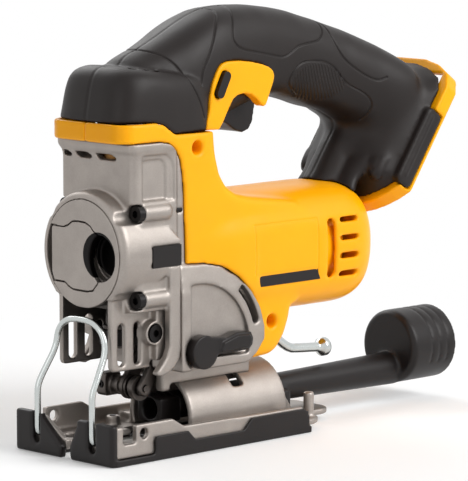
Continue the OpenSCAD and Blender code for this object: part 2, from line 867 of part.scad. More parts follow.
// Ring that carries the release disc, run back along both sides of the tower.
module disc_ring() {
  r = 3.7;
  intersection() {
    round_disc() polygon(concat(
      [[0, disc_face + 3], [disc_r - 1, disc_face + 3], [disc_r - 1, disc_face]],
      [for (a = [0 : 18 : 90]) [ring_r - r + r * sin(a), disc_face + r - r * cos(a)]],
      [[ring_r, part_x - 0.1], [0, part_x - 0.1]]
    ));
    box([-40, part_x], [-ring_half, ring_half], [disc_z - 20, disc_z + 40]);
  }
}

// Corners that the side bosses lose above and below the badge.
module pad_corners() {
  both_sides() slab(-ring_half - 1, -case_half - 0.02) {
    polygon([[5.5, 112], [5.5, 109.4], [12.5, 101.4], [16, 101.4], [16, 112]]);
    polygon([[-5, 70], [16, 70], [16, 84], [5, 84], [-2, 80]]);
  }
}

// Side wall under the cover with two slots.
module skirt_outline() {
  difference() {
    polygon([[-21, 74], [-21, 42.4], [-20.2, 40.9], [-18.6, 40.4], [3, 40.4], [3, 74]]);
    for (x = [-14.7, -4.9]) {
      translate([x - 2.2, 45]) square([4.4, 15.4]);
      for (z = [45, 60.4]) translate([x, z]) circle(2.22);
    }
  }
}

// Rib down each side of the tower that curves forward at its foot.
module side_rib() {
  slab(-case_half - 2.6, -case_half + 1.4) polygon([
    [6.5, 88], [6.5, 51], [4.8, 46.6], [1.8, 43], [-1.6, 39.6], [-1.2, 38], [1.5, 37.6],
    [6, 38.8], [10, 41.4], [12.6, 45], [13.4, 49], [13.4, 88]
  ]);
}

module side_panel() {
  slab(-case_half - 2, -case_half + 1) polygon([
    [-8.4, 118.6], [12, 118.6], [12, 134], [10.4, 138], [6.5, 140.4], [-8.4, 140.4]
  ]);
  slab(-case_half - 2, -case_half + 2.2) polygon([
    [-7.4, 119.4], [7.4, 119.4], [7.4, 134], [6.4, 137], [4, 138.4], [-7.4, 138.4]
  ]);
}

module front_cover() {
  wall_y = 15.5;
  color(cast) difference() {
    union() {
      cover_block();
      difference() {
        disc_ring();
        pad_corners();
      }
      for (side = [-1, 1], z = screw_rows) {
        rod_x(head_x, 7.6, 4.2, side * screw_y, z, $fn = 32);
        rod_x(7.59, 9.6, 4.2, side * screw_y, z, 2.6, $fn = 32);
      }
      both_sides() {
        slab(wall_y, wall_y + 3) skirt_outline();
        box([2.9, part_x - 0.02], [-23, -wall_y], [44, 69]);
        rod_y(-23.02, -wall_y, 5.6, case_screw_at[0], case_screw_at[1]);
        side_rib();
      }
    }
    corner_trim();
    box([front_x + case_wall, part_x + 1], [-22, 22], [88.5, 136.5]);
    box([front_x + case_wall, part_x + 1], [-wall_y + 0.1, wall_y - 0.1], [30, 74.5]);
    rod_z(60, 150, plunger_r + 1, 0);
    rod_z(74, 86.6, 9.02, 0);
    rod_z(137, 146.5, 9.02, 0);
    rod_x(disc_face - 1, front_x - 1, disc_r + 0.05, 0, disc_z);
    rod_x(front_x - 2, front_x + 1.5, 10.3, -11.6, disc_z + lever_dz);
    for (v = [[-15.4, -2.1, -10.4, 1.1], [1.5, 11.2, 6.1, 16.3], [15.8, 23, 19.5, 24]])
      translate([0, 0, 137.8]) bar(front_x - 2, front_x + case_wall + 4)
        polygon([[v[0], 0], [v[1], 0], [v[3], 2.6], [v[2], 2.6]]);
    both_sides() side_panel();
    box([-4.8, 13.35], [-ring_half - 1, -ring_half + 1.4], [88.4, 98.5]);
    for (side = [-1, 1], z = screw_rows) {
      rod_x(disc_face - 1, head_x, 4.3, side * screw_y, z, $fn = 32);
      rod_x(front_x - 1, 20, screw_shank + 0.02, side * screw_y, z, $fn = 24);
    }
    both_sides() {
      rod_y(-24, -14, 2.02, case_screw_at[0], case_screw_at[1], $fn = 24);
      rod_y(-24, -20, 4.3, case_screw_at[0], case_screw_at[1]);
    }
    rod_z(disc_z - 17, disc_z + 17, release_pin_r, release_at[0], release_at[1], $fn = 24);
  }
}

// Front view of the release lever inside the disc, grown by a margin.
module release_outline(grow = 0) {
  translate([0, disc_z + lever_dz]) difference() {
    offset(delta = grow) polygon([
      [-10.6, -11.2], [-6.8, -15.2], [-2.3, -16], [6.6, -15.8], [9.6, -14.8], [12.4, -13],
      [disc_r + 8, -12.6], [disc_r + 8, 12.6], [13, 12.4], [9.8, 13.6], [7.2, 15.4], [3, 15.9],
      [-1.7, 15.6], [-5, 14.4], [-7.6, 11.8], [-10.2, 11]
    ]);
    translate([-18.4, -0.2]) circle(13.7 - grow);
  }
}

module disc_cap() {
  color(cast) difference() {
    rod_x(disc_face, front_x - 1.1, disc_r - 0.05, 0, disc_z);
    bar(disc_face - 1, disc_face + lever_t + gap) release_outline(0.45);
    rod_x(disc_face - 1, front_x, 10.8, -11.6, disc_z + lever_dz);
    translate([0, 0, disc_z + lever_dz])
      box([disc_face - 1, disc_face + lever_t + 2.6], [release_at[1] - 3, 60], [-13.05, 13.05]);
    rod_z(disc_z - 20, disc_z + 20, release_pin_r + 0.01, release_at[0], release_at[1], $fn = 24);
  }
}

module release_lever() {
  r = lever_t / 2;
  color(cast) difference() {
    intersection() {
      union() {
        bar(disc_face, disc_face + lever_t) intersection() {
          release_outline();
          translate([-60, 0]) square([60 + release_at[1], 200]);
        }
        rod_z(disc_z + lever_dz - 12.6, disc_z + lever_dz + 12.6, r, release_at[0], release_at[1]);
      }
      rod_x(disc_face - 1, disc_face + 10, disc_r - 1.2, 0, disc_z);
    }
    rod_z(disc_z - 30, disc_z + 30, release_pin_r + run, release_at[0], release_at[1], $fn = 24);
  }
}

module release_pin() {
  color(steel) rod_z(disc_z - 16.9, disc_z + 16.9, release_pin_r - 0.01, release_at[0], release_at[1],
    $fn = 24);
}

// A cap screw along X with a hexagon socket, its head at x.
module cap_screw(x, length, head = 3.8, shank = 2) {
  difference() {
    union() {
      rod_x(x - 3.4, x, head);
      rod_x(x, x + length, shank);
    }
    translate([x - 4, 0, 0]) rotate([0, 90, 0]) cylinder(h = 2.6, r = 1.9, $fn = 6);
  }
}

module cover_screws() {
  color(steel) for (side = [-1, 1], z = screw_rows)
    translate([0, side * screw_y, z]) cap_screw(head_x, 25, 3.8, screw_shank);
}

module case_screws() {
  color(steel) both_sides()
    translate([case_screw_at[0], -20, case_screw_at[1]]) rotate([0, 0, 90]) cap_screw(0, 4, 4);
}

module housing_screws() {
  color(steel) {
    for (p = housing_posts)
      translate([p[0], p[2] * 14, p[1]]) rotate([0, 0, -90 * p[2]]) cap_screw(0, 26, 3, 1.55);
    for (p = handle_posts)
      translate([p[0], 14, p[1]]) rotate([0, 0, -90]) cap_screw(0, 24, 3, 1.55);
  }
}

module side_badge() {
  color(black) box([-4.6, 13.2], [-ring_half - 0.1, -ring_half + 1.38], [88.6, 98.3]);
}

module label_band() {
  color(black) both_sides() slab(1.1 - body_w / 2, 1.58 - body_w / 2) band_outline();
}

// ---------- drive ----------

function inv(a) = tan(a) - a * PI / 180;

// Gear outline of straight-sided steps along an involute, one tooth on the +X axis.
module gear_outline(teeth, m, pressure = 25, play = 0.12) {
  rp = teeth * m / 2;
  rb = rp * cos(pressure);
  root = rp - 1.2 * m;
  tip = rp + 0.95 * m;
  low = max(root, rb);
  half = 90 / teeth - play / rp * 90 / PI;
  radii = [low, low + (tip - low) * 0.4, low + (tip - low) * 0.75, tip];
  ang = [for (r = radii) half + (inv(pressure) - inv(acos(min(1, rb / r)))) * 180 / PI];
  polygon([
    for (i = [0 : teeth - 1]) let (c = 360 * i / teeth) each concat(
      [root * [cos(c - ang[0]), sin(c - ang[0])]],
      [for (j = [0 : 3]) radii[j] * [cos(c - ang[j]), sin(c - ang[j])]],
      [for (j = [3 : -1 : 0]) radii[j] * [cos(c + ang[j]), sin(c + ang[j])]],
      [root * [cos(c + ang[0]), sin(c + ang[0])]]
    )
  ]);
}

module crank_gear() {
  color(steel) difference() {
    union() {
      translate([0, 0, crank_z]) bar(gear_x, gear_x + gear_t) difference() {
        rotate(-90) gear_outline(gear_teeth, gear_m);
        circle(3 + run);
        for (a = [0 : 60 : 300]) rotate(a + 30) translate([gear_pitch * 0.62, 0]) circle(2.8);
      }
      rod_x(yoke_x + yoke_t + 0.6, gear_x + 1, 2.5, 0, crank_z + crank_r);
      rod_x(gear_x - 1, gear_x + 1, 4.6, 0, crank_z + crank_r);
    }
    rod_x(gear_x - 2, gear_x + gear_t + 1, 3 + run, 0, crank_z);
  }
}

module crank_roller() {
  color(steel) difference() {
    rod_x(yoke_x + yoke_t + 0.6, gear_x - 1.1, crank_pin_r, 0, crank_z + crank_r);
    rod_x(yoke_x, gear_x, 2.5 + 0.01, 0, crank_z + crank_r);
  }
}

module gear_axle() {
  color(steel) rod_x(gear_x - 0.4, bulkhead_x + bulkhead_t, 3 - 0.01, 0, crank_z);
}

module armature_shaft() {
  color(steel) union() {
    translate([0, 0, motor_z]) bar(gear_x + 0.4, gear_x + gear_t + 0.4)
      rotate(90 + 180 / pinion_teeth) gear_outline(pinion_teeth, gear_m);
    rod_x(gear_x + gear_t + 0.2, rear_bearing_x + bearing_t + 1, shaft_d / 2, 0, motor_z);
  }
}

core_x = can_x + 8;
core_len = can_len - 18;

module armature_core() {
  color(steel) translate([0, 0, motor_z]) bar(core_x, core_x + core_len) difference() {
    circle(can_d / 2 - 9.5);
    circle(shaft_d / 2 + 0.01);
    for (a = [0 : 30 : 330]) rotate(a) translate([can_d / 2 - 14, -1]) square([6, 2]);
  }
}

module commutator() {
  color(copper) translate([0, 0, motor_z]) bar(core_x + core_len + 3, core_x + core_len + 15)
    difference() {
      circle(9);
      circle(shaft_d / 2 + 0.01);
      for (a = [0 : 30 : 330]) rotate(a + 15) translate([8.2, -0.3]) square([2, 0.6]);
    }
}

module fan() {
  color(black) difference() {
    union() {
      rod_x(fan_x, fan_x + 1.6, 23, 0, motor_z);
      rod_x(fan_x, fan_x + 10, 7, 0, motor_z);
      translate([0, 0, motor_z]) bar(fan_x + 1, fan_x + 10)
        for (a = [0 : 30 : 330]) rotate(a) translate([6.5, -0.7]) square([16, 1.4]);
    }
    rod_x(fan_x - 1, fan_x + 11, shaft_d / 2 + 0.01, 0, motor_z);
  }
}

module motor_can() {
  color(steel) translate([0, 0, motor_z]) bar(can_x, can_x + can_len) {
    difference() {
      circle(can_d / 2);
      circle(can_d / 2 - 2);
    }
    difference() {
      circle(can_d / 2 - 1.5);
      circle(can_d / 2 - 8);
      both_sides_2d() translate([-60, 12]) square([120, 60]);
    }
  }
}

module both_sides_2d() {
  children();
  mirror([0, 1]) children();
}

module brush_gear() {
  x = core_x + core_len + 4;
  color(black) union() {
    difference() {
      rod_x(x, x + 10, can_d / 2 - 8.5, 0, motor_z);
      rod_x(x - 1, x + 11, 10, 0, motor_z);
      for (a = [0, 180]) translate([0, 0, motor_z]) rotate([a, 0, 0])
        box([x - 1, x + 11], [-30, 30], [12, 30]);
    }
    translate([0, 0, motor_z]) both_sides() box([x + 1, x + 9], [9.4, can_d / 2 - 9], [-3, 3]);
  }
}

module bearing(x, bore, outer) {
  translate([0, 0, motor_z]) bar(x, x + bearing_t) difference() {
    circle(outer);
    circle(bore);
  }
}

module motor_bearings() {
  color(steel) {
    bearing(bearing_x, shaft_d / 2 + 0.03, 11);
    bearing(rear_bearing_x, shaft_d / 2 + 0.03, 9.5);
  }
}

// ---------- plunger ----------

plunger_low = collar_z - 1.6;
plunger_high = 152;

module plunger() {
  color(steel) difference() {
    rod_z(collar_z + 9, plunger_high, plunger_r);
    rod_z(plunger_high - 6, plunger_high + 1, plunger_r - 2);
  }
}

module plunger_bushes() {
  color(brass) difference() {
    union() {
      rod_z(75, 86.5, 9);
      rod_z(137.2, 145.6, 9);
    }
    rod_z(70, 150, plunger_r + run);
  }
}

module yoke() {
  color(steel) difference() {
    union() {
      rod_z(crank_z - yoke_half_h, crank_z + yoke_half_h, plunger_r + 2.6);
      box([3, yoke_x + yoke_t], [-20, 20], [crank_z - yoke_half_h, crank_z + yoke_half_h]);
    }
    rod_z(crank_z - 20, crank_z + 20, plunger_r + 0.01);
    box([yoke_x, yoke_x + yoke_t + 1], [-crank_r - 4.2, crank_r + 4.2],
      [crank_z - crank_pin_r - 0.1, crank_z + crank_pin_r + 0.1]);
    both_sides() box([2, yoke_x], [10, 21], [crank_z - 20, crank_z + 20]);
  }
}

module blade_holder() {
  color(steel) difference() {
    union() {
      rod_z(plunger_low, collar_z + 9, plunger_r - 0.6);
      rod_z(collar_z + 7.4, collar_z + 9, plunger_r + 1.4);
    }
    box([-5, 4], [-0.9, 0.9], [plunger_low - 1, collar_z + 7]);
  }
}

module clamp_collar() {
  color(black) difference() {
    union() {
      rod_z(collar_z, collar_z + 7, plunger_r + 2.6);
      for (a = [0 : 45 : 315]) rotate(a)
        translate([plunger_r + 2.4, 0, collar_z]) cylinder(h = 7, r = 0.8, $fn = 16);
    }
    rod_z(collar_z - 1, collar_z + 8, plunger_r - 0.6 + run);
  }
}

// ---------- blade guide ----------

module roller_fork() {
  color(zinc) difference() {
    union() {
      both_sides() slab(roller_half + 0.4, fork_half) union() {
        link(roller_at, fork_at, 3.8);
        translate(fork_at) circle(4);
      }
      slab(-fork_half, fork_half) hull() {
        translate(fork_at) circle(2.8, $fn = 32);
        translate(fork_at - [1, 3.6]) circle(2.8, $fn = 32);
      }
      rod_y(fork_half - 0.5, 13, 4.5, roller_at[0] - 1, roller_at[1]);
      slab(12, 18) rounded(roller_at[0] - 8, roller_at[0] + 2.2, roller_at[1] - 5, roller_at[1] + 6, 1.5);
    }
    rod_y(-20, 20, fork_pin_r + run, fork_at[0], fork_at[1]);
    rod_y(-10, 10, 1.5 + 0.01, roller_at[0], roller_at[1]);
    rod_x(0, 9, 1.52, 15, roller_at[1] + 0.5);
  }
}

module roller_pin() {
  color(steel) rod_y(-fork_half - 0.5, fork_half - 0.2, 1.5, roller_at[0], roller_at[1]);
}

module fork_screws() {
  color(steel) translate([0, 15, roller_at[1] + 0.5]) difference() {
    rod_x(1.6, 8, 1.5);
    translate([1, 0, 0]) rotate([0, 90, 0]) cylinder(h = 2.5, r = 0.9, $fn = 6);
  }
}

module fork_pin() {
  color(steel) rod_y(-14, 14, fork_pin_r, fork_at[0], fork_at[1]);
}

module guide_roller() {
  color(steel) difference() {
    union() {
      for (side = [-1, 1])
        rod_y(min(side * 2.4, side * roller_half), max(side * 2.4, side * roller_half), roller_r,
          roller_at[0], roller_at[1]);
      rod_y(-2.5, 2.5, roller_r - 1.6, roller_at[0], roller_at[1]);
      rod_y(-2.5, -0.8, roller_r - 0.4, roller_at[0], roller_at[1]);
      rod_y(0.8, 2.5, roller_r - 0.4, roller_at[0], roller_at[1]);
    }
    rod_y(-10, 10, 1.5 + run, roller_at[0], roller_at[1]);
  }
}

// ---------- orbital lever ----------

module orbital_lever() {
  color(black) union() {
    slab(-lobe_half - 3.6, -lobe_half + pocket_depth - 0.4) union() {
      translate(orbit_at) {
        circle(8);
        polygon([[0, -5], [8, -1.9], [28, -1.6], [30.4, 0.4], [31, 3.6], [29.4, 6.8], [21, 7.4],
          [14, 5.6], [0, 7.4]]);
      }
    }
    slab(-lobe_half - 4.8, -lobe_half) translate(orbit_at)
      polygon([[9, -0.6], [27.6, -0.2], [29.2, 3.4], [27.8, 5.6], [20, 6], [11, 3.6]]);
    rod_y(-lobe_half - 3.6, -15.4, 4, orbit_at[0], orbit_at[1]);
  }
}

// ---------- shoe ----------

// The casting seen from above, grown by a margin.
module shoe_plan(grow = 0) {
  h = shoe_half + grow;
  translate([4 - shoe_front - grow, -h]) square([shoe_rear - 17 + shoe_front + grow, 2 * h]);
  translate([50, 13 - h]) square([shoe_rear - 50 + grow, 2 * h - 26]);
  for (side = [-1, 1]) translate([shoe_rear - 13 + grow, side * (h - 13)]) circle(13);
}

module shoe() {
  f = 4 - shoe_front;
  wall = 3;
  color(cast) difference() {
    union() {
      translate([0, 0, floor_z]) linear_extrude(floor_t) union() {
        shoe_plan();
        translate([shoe_rear - 20, -lug_half]) square([lug_rear - shoe_rear + 12, 2 * lug_half]);
        translate([lug_rear - 16, 9 - lug_half]) square([16, 2 * lug_half - 18]);
        for (side = [-1, 1]) translate([lug_rear - 9, side * (lug_half - 9)]) circle(9);
      }
      both_sides() slab(-shoe_half, wall - shoe_half) polygon([
        [f, floor_z], [f, shoe_wall_h], [4, shoe_wall_h], [11, shoe_wall_h - 4.2],
        [shoe_rear - 18, shoe_wall_h - 5.4], [shoe_rear - 14, floor_z]
      ]);
      bar(f, f + wall) polygon([
        [-shoe_half, floor_z], [shoe_half, floor_z], [shoe_half, shoe_wall_h - 0.6],
        [18.5, shoe_wall_h - 0.6], [4.4, 8.2], [-4.8, 8.2], [-8.6, 15.4], [-12, shoe_wall_h - 1.6],
        [-shoe_half, shoe_wall_h - 0.6]
      ]);
      both_sides() box([shoe_rear - 32, shoe_rear - 18], [-shoe_half + 4, -barrel_r - 1.5],
        [floor_z, floor_z + 7]);
      both_sides() box([barrel_x + 1, shoe_rear - 30], [-shoe_half + 2, -barrel_r - 0.02],
        [floor_z, floor_z + 7.5]);
      both_sides() rod_z(floor_z, 11, 3.4, 16, -22);
      translate([shoe_rear - 7, -26, 0]) rod_z(floor_z, shoe_wall_h, 2.6);
    }
    box([f + wall, 17], [-8.5, 8.5], [0, 30]);
    box([f - 1, f + wall + 1], [-4.6, 2], [0, 30]);
    both_sides() box([f + 4, f + 12], [-shoe_half - 1, -shoe_half + wall + 1], [9.6, 30]);
    translate([0, 0, -1]) linear_extrude(30) rounded(f + 12, f + 22, 13, 24, 2);
    translate([0, 0, -1]) linear_extrude(30) rounded(f + 12, f + 22, -24, -13, 2);
    for (side = [-1, 1]) {
      rod_y(min(side * 26, side * 36), max(side * 26, side * 36), 2.6, f + 17, 13.5);
      rod_x(f - 1, f + 5, wire_d / 2 + 0.02, side * 19, 9);
    }
    both_sides() rod_z(0, 12, 1.55, 16, -22);
    both_sides() rod_z(0, 12, 1.55, shoe_rear - 30, -27);
    rod_x(barrel_x - 10, 100, barrel_r - 6, 0, barrel_z);
  }
}

module bevel_barrel() {
  color(cast) difference() {
    union() {
      intersection() {
        rod_x(barrel_x, barrel_end, barrel_r, 0, barrel_z);
        box([0, 120], [-40, 40], [floor_top + 0.01, 60]);
      }
      both_sides() slab(-barrel_r + 0.6, -barrel_r + 3.4)
        polygon([[barrel_end - 1, floor_top + 0.01], [barrel_end + 8, floor_top + 0.01], [barrel_end - 1, 18]]);
    }
    rod_x(barrel_x - 1, barrel_end + 1, barrel_r - 3, 0, barrel_z);
    intersection() {
      translate([0, 0, barrel_z]) bar(bolt_x - bolt_r - 0.6, bolt_x + bolt_r + 0.6)
        polygon([[0, 0], [-52, 36], [-30, 60], [30, 60], [52, 36]]);
    }
  }
}

module shoe_cover() {
  lip = 1.5;
  color(black) difference() {
    union() {
      linear_extrude(cover_t) intersection() {
        shoe_plan(lip);
        translate([-60, -60]) square([54 + shoe_rear - 7, 120]);
      }
      translate([-shoe_front, 0, 0]) linear_extrude(19.3)
        rounded(0, 3.96, -shoe_half - 1, shoe_half + 1, 1.5);
      both_sides() slab(-shoe_half - lip, -shoe_half - 0.02) polygon([
        [-8.6, 0], [-8.6, 9.6], [-7.9, 11.1], [-6.3, 11.8], [12.9, 11.6], [16.7, 7.3], [48.5, 7.1],
        [53.9, 12.4], [shoe_rear - 19, 12.3], [shoe_rear - 15.6, 10.9], [shoe_rear - 14.4, 8], [shoe_rear - 14, 0]
      ]);
    }
    bar(-shoe_front - 1, 5 - shoe_front) polygon([
      [-10, 40], [-9.2, 16.4], [-4.2, 6.4], [-4.6, -1], [2, -1], [1.6, 5.2], [16.4, 18.2], [16.4, 40]
    ]);
    both_sides() rod_x(-shoe_front - 1, 3.98 - shoe_front, 2.5, -19.4, 7.3);
    box([3.96 - shoe_front, 20], [-8.5, 8.5], [-1, 20]);
    both_sides() box([-shoe_front - 1, 3.98 - shoe_front], [-21.8, -17], [7.3, 30]);
    both_sides() rod_x(-shoe_front - 1, 6 - shoe_front, wire_d / 2 + 0.02, -19, 9);
    box([19, 29] - [shoe_front, shoe_front] + [-3, -3], [-24, -13], [-1, 10]);
    box([19, 29] - [shoe_front, shoe_front] + [-3, -3], [13, 24], [-1, 10]);
    both_sides() rod_z(-1, 12, 3.2, 16, -22);
    both_sides() rod_z(-1, 12, 3.2, shoe_rear - 30, -27);
  }
}

module shoe_screws() {
  color(steel) both_sides() for (p = [[16, -22], [shoe_rear - 30, -27]])
    translate([p[0], p[1], cover_t]) rotate([0, -90, 0]) translate([0, 0, 0]) cap_screw_up();
}

// A low screw that points up, its head just inside the cover.
module cap_screw_up() {
  difference() {
    union() {
      rod_x(-2, 0, 3);
      rod_x(0, 8, 1.5);
    }
    translate([-2.6, 0, 0]) rotate([0, 90, 0]) cylinder(h = 1.8, r = 1.3, $fn = 6);
  }
}

module splinter_insert() {
  color(zinc) difference() {
    union() {
      box([-12, 16.9], [-8.4, 8.4], [0.6, 2.8]);
    }
    box([-13, 10], [-1.2, 1.2], [0, 4]);
  }
}

// Half of the guard's centre line, from its foot in the shoe to the middle of the arch.
function guard_half() = let (
    x = 1.2 - shoe_front, top = -23.6, y = 19, y2 = 17, c = 11, b = 3
  ) concat(
    [[x + 8, y, 9]],
    [for (a = [0 : 30 : 90]) [x + b - b * sin(a), y, 9 + b - b * cos(a)]],
    [[x, y, 31], [x + 0.5, y, 33], [x + 2, y - 0.3, 35.6]],
    [[top - 1.4, y2 + 0.3, 47.6], [top - 0.3, y2, 50]],
    [for (a = [0 : 15 : 90]) [top, y2 - c + c * cos(a), 51.5 + c * sin(a)]]
  );

function flip_y(v) = [for (i = [len(v) - 1 : -1 : 0]) [v[i][0], -v[i][1], v[i][2]]];

module wire_guard() {
  color(zinc) sweep(concat(guard_half(), flip_y(guard_half())), wire_d / 2, 12);
}

// ---------- dust spout ----------

tube_r = tube_d / 2;
tube_z = floor_top + 3.7 + tube_r;
cup_z = tube_z - tube_r + collar_d / 2 - 0.8;
cup_x = [183, 214];
cup_floor = cup_x[0] + 3;
swell = 1.6;                           // growth of the tube towards the cup

module dust_spout() {
  inner = tube_r - spout_wall;
  color(black) difference() {
    union() {
      rod_x(19.2, 100.01, tube_r, 0, tube_z);
      rod_x(100, cup_floor - 1, tube_r, 0, tube_z, tube_r + swell);
      box([19.2, 32], [-8, 8], [tube_z - tube_r + 0.6, tube_z + tube_r - 1.2]);
      for (x = [21, 24.5, 28]) rod_x(x, x + 1.4, tube_r + 0.8, 0, tube_z);
      rod_x(cup_x[0] + 2, cup_x[1], collar_d / 2, 0, cup_z);
      rod_x(cup_x[0], cup_x[0] + 2.01, collar_d / 2 - 2, 0, cup_z, collar_d / 2);
      box([94, 104], [-10, 10], [floor_top + 0.01, tube_z]);
    }
    rod_x(18, cup_floor + 1, inner, 0, tube_z);
    rod_x(cup_floor, cup_x[1] + 1, collar_d / 2 - spout_wall, 0, cup_z);
    for (x = [196, 201.5, 207]) difference() {
      rod_x(x, x + 1.6, collar_d, 0, cup_z);
      rod_x(x - 1, x + 3, collar_d / 2 - 0.6, 0, cup_z);
      box([x - 2, x + 4], [-40, 40], [cup_z - 40, cup_z - 8]);
    }
  }
}

// ---------- bevel lever ----------

module bevel_lever() {
  z = lever_z;
  color(zinc) union() {
    difference() {
      rod_z(z - 3.2, z + 3.6, 7.6, bolt_x);
      rod_z(z - 4, z + 5, bolt_r + run, bolt_x);
    }
    sweep([for (x = [bolt_x + 5, 90, 93, 96, 99, 102, 105, 108, 111, 114, 117, 126, 134])
      [x, 0, lever_path(x)]], 2.4, 14);
    rod_x(132, 134.6, 2.3, 0, lever_path(134), 4.7);
    rod_x(134.59, 137.4, 4.7, 0, lever_path(134));
    rod_x(137.39, 138.4, 4.7, 0, lever_path(134), 3.9);
  }
}

// Height of the bevel lever's rod, which bends down behind the housing.
function lever_path(x) = let (t = min(1, max(0, (x - 92) / 24)))
  lever_z - 12.2 * t * t * (3 - 2 * t) - 0.08 * max(0, x - 116);

module clamp_bolt() {
  color(steel) difference() {
    union() {
      rod_z(28, lever_z + 6.4, bolt_r, bolt_x);
      rod_z(lever_z + 3.9, lever_z + 6.4, 5, bolt_x);
    }
    translate([bolt_x, 0, 27]) cylinder(h = 1.5, r = 1.4, $fn = 6);
  }
}

module clamp_plate() {
  color(steel) difference() {
    intersection() {
      rod_x(bolt_x - 7, bolt_x + 7, barrel_r - 3 - gap, 0, barrel_z);
      box([0, 100], [-9, 9], [26.4, 60]);
    }
    rod_z(20, 60, bolt_r + 0.02, bolt_x);
  }
}

left_housing();
right_housing();
left_overmould();
right_overmould();
switch_plates();
battery_foot();
battery_plate();
terminal_block();
terminal_blades();
gear_case();
front_cover();
disc_cap();
cover_screws();
case_screws();
housing_screws();
plunger_bushes();
gear_axle();
motor_can();
brush_gear();
motor_bearings();
switch_body();
speed_module();
trigger_spring();
release_pin();
side_badge();
label_band();
fork_pin();
clamp_bolt();
armature_shaft();
armature_core();
commutator();
fan();
crank_gear();
crank_roller();
plunger();
yoke();
blade_holder();
clamp_collar();
roller_fork();
fork_screws();
guide_roller();
roller_pin();
orbital_lever();
release_lever();
trigger();
lock_button();
shoe();
bevel_barrel();
shoe_cover();
splinter_insert();
wire_guard();
shoe_screws();
dust_spout();
bevel_lever();
clamp_plate();
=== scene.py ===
# %% [markdown]
# # A cordless jigsaw, dressed for the camera
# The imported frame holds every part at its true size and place. This notebook leaves those places alone:
# it gives each part a finish, swaps the faceted shells for smooth ones, and sets a plain studio round
# them.

# %% Load the frame
import json
import math

import bmesh
import bpy
import numpy as np
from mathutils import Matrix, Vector
from mathutils.bvhtree import BVHTree
from mathutils.kdtree import KDTree

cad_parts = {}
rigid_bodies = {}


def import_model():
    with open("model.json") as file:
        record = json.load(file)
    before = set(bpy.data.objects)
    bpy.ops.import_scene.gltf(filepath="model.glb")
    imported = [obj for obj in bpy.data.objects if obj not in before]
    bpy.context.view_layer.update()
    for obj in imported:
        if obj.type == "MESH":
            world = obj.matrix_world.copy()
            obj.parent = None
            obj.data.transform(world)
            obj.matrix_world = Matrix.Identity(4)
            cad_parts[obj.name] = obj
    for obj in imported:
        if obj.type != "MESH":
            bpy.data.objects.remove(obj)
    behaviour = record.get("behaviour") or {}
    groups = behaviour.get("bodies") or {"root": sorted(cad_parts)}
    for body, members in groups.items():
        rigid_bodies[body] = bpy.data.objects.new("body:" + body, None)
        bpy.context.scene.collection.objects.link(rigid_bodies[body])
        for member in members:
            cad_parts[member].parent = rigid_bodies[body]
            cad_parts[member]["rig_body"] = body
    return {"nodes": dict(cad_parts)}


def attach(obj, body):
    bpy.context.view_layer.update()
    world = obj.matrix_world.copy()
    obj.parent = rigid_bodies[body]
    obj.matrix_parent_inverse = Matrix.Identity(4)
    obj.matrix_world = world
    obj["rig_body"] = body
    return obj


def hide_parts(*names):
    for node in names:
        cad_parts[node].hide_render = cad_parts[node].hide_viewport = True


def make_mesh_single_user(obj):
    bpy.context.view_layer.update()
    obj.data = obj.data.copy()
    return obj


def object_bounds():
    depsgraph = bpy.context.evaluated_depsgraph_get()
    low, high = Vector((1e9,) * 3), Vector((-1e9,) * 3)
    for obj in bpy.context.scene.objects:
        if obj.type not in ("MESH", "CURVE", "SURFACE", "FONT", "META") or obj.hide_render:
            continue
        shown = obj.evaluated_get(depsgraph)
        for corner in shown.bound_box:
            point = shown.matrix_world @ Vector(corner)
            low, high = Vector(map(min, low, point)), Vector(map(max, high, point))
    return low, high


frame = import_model()
cad_box = [list(corner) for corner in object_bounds()]
MM = 0.001
print("nodes", len(frame["nodes"]), "box", cad_box)

# %% [markdown]
# ## The camera
# It stands 1.6 m away with a long lens, so that the tool shows little perspective, and looks at the
# middle of the tool from its front left corner, a little above.

# %% Camera
TURN, RISE = math.radians(44.016), math.radians(7.613)
LOOK_AT = Vector((74.921, 0.0, 91.449)) * MM
AWAY = 1645.34 * MM
FOCAL_IN_FRAMES = 3420.2 / 481
SENSOR_MM = 36.0


def placed(name, data):
    """A new object that holds this data, in the scene."""
    item = bpy.data.objects.new(name, data)
    bpy.context.scene.collection.objects.link(item)
    return item


back = Vector((-math.sin(TURN) * math.cos(RISE), -math.cos(TURN) * math.cos(RISE), math.sin(RISE)))
lens = bpy.data.cameras.new("camera")
lens.sensor_width, lens.lens = SENSOR_MM, SENSOR_MM * FOCAL_IN_FRAMES
lens.clip_start, lens.clip_end = 0.05, 20.0
camera = placed("camera", lens)
camera.location = LOOK_AT + back * AWAY
camera.rotation_euler = (-back).to_track_quat("-Z", "Y").to_euler()
bpy.context.scene.camera = camera
print("camera at", tuple(round(x, 3) for x in camera.location))

# %% [markdown]
# ## Shader maths in plain sentences
# A shader tree is a net of sockets. Wrapping a socket in a small class lets the maths be written as
# maths: `1 - mask * 0.4` adds its own Math nodes. Every other node comes from one method.

# %% Sockets that do sums
def linear(red, green, blue):
    """A colour as a paint chart gives it, 0 to 255, as the light values that shaders use."""
    parts = (red / 255, green / 255, blue / 255)
    return tuple(c / 12.92 if c <= 10 / 255 else ((c + 0.055) / 1.055) ** 2.4 for c in parts)


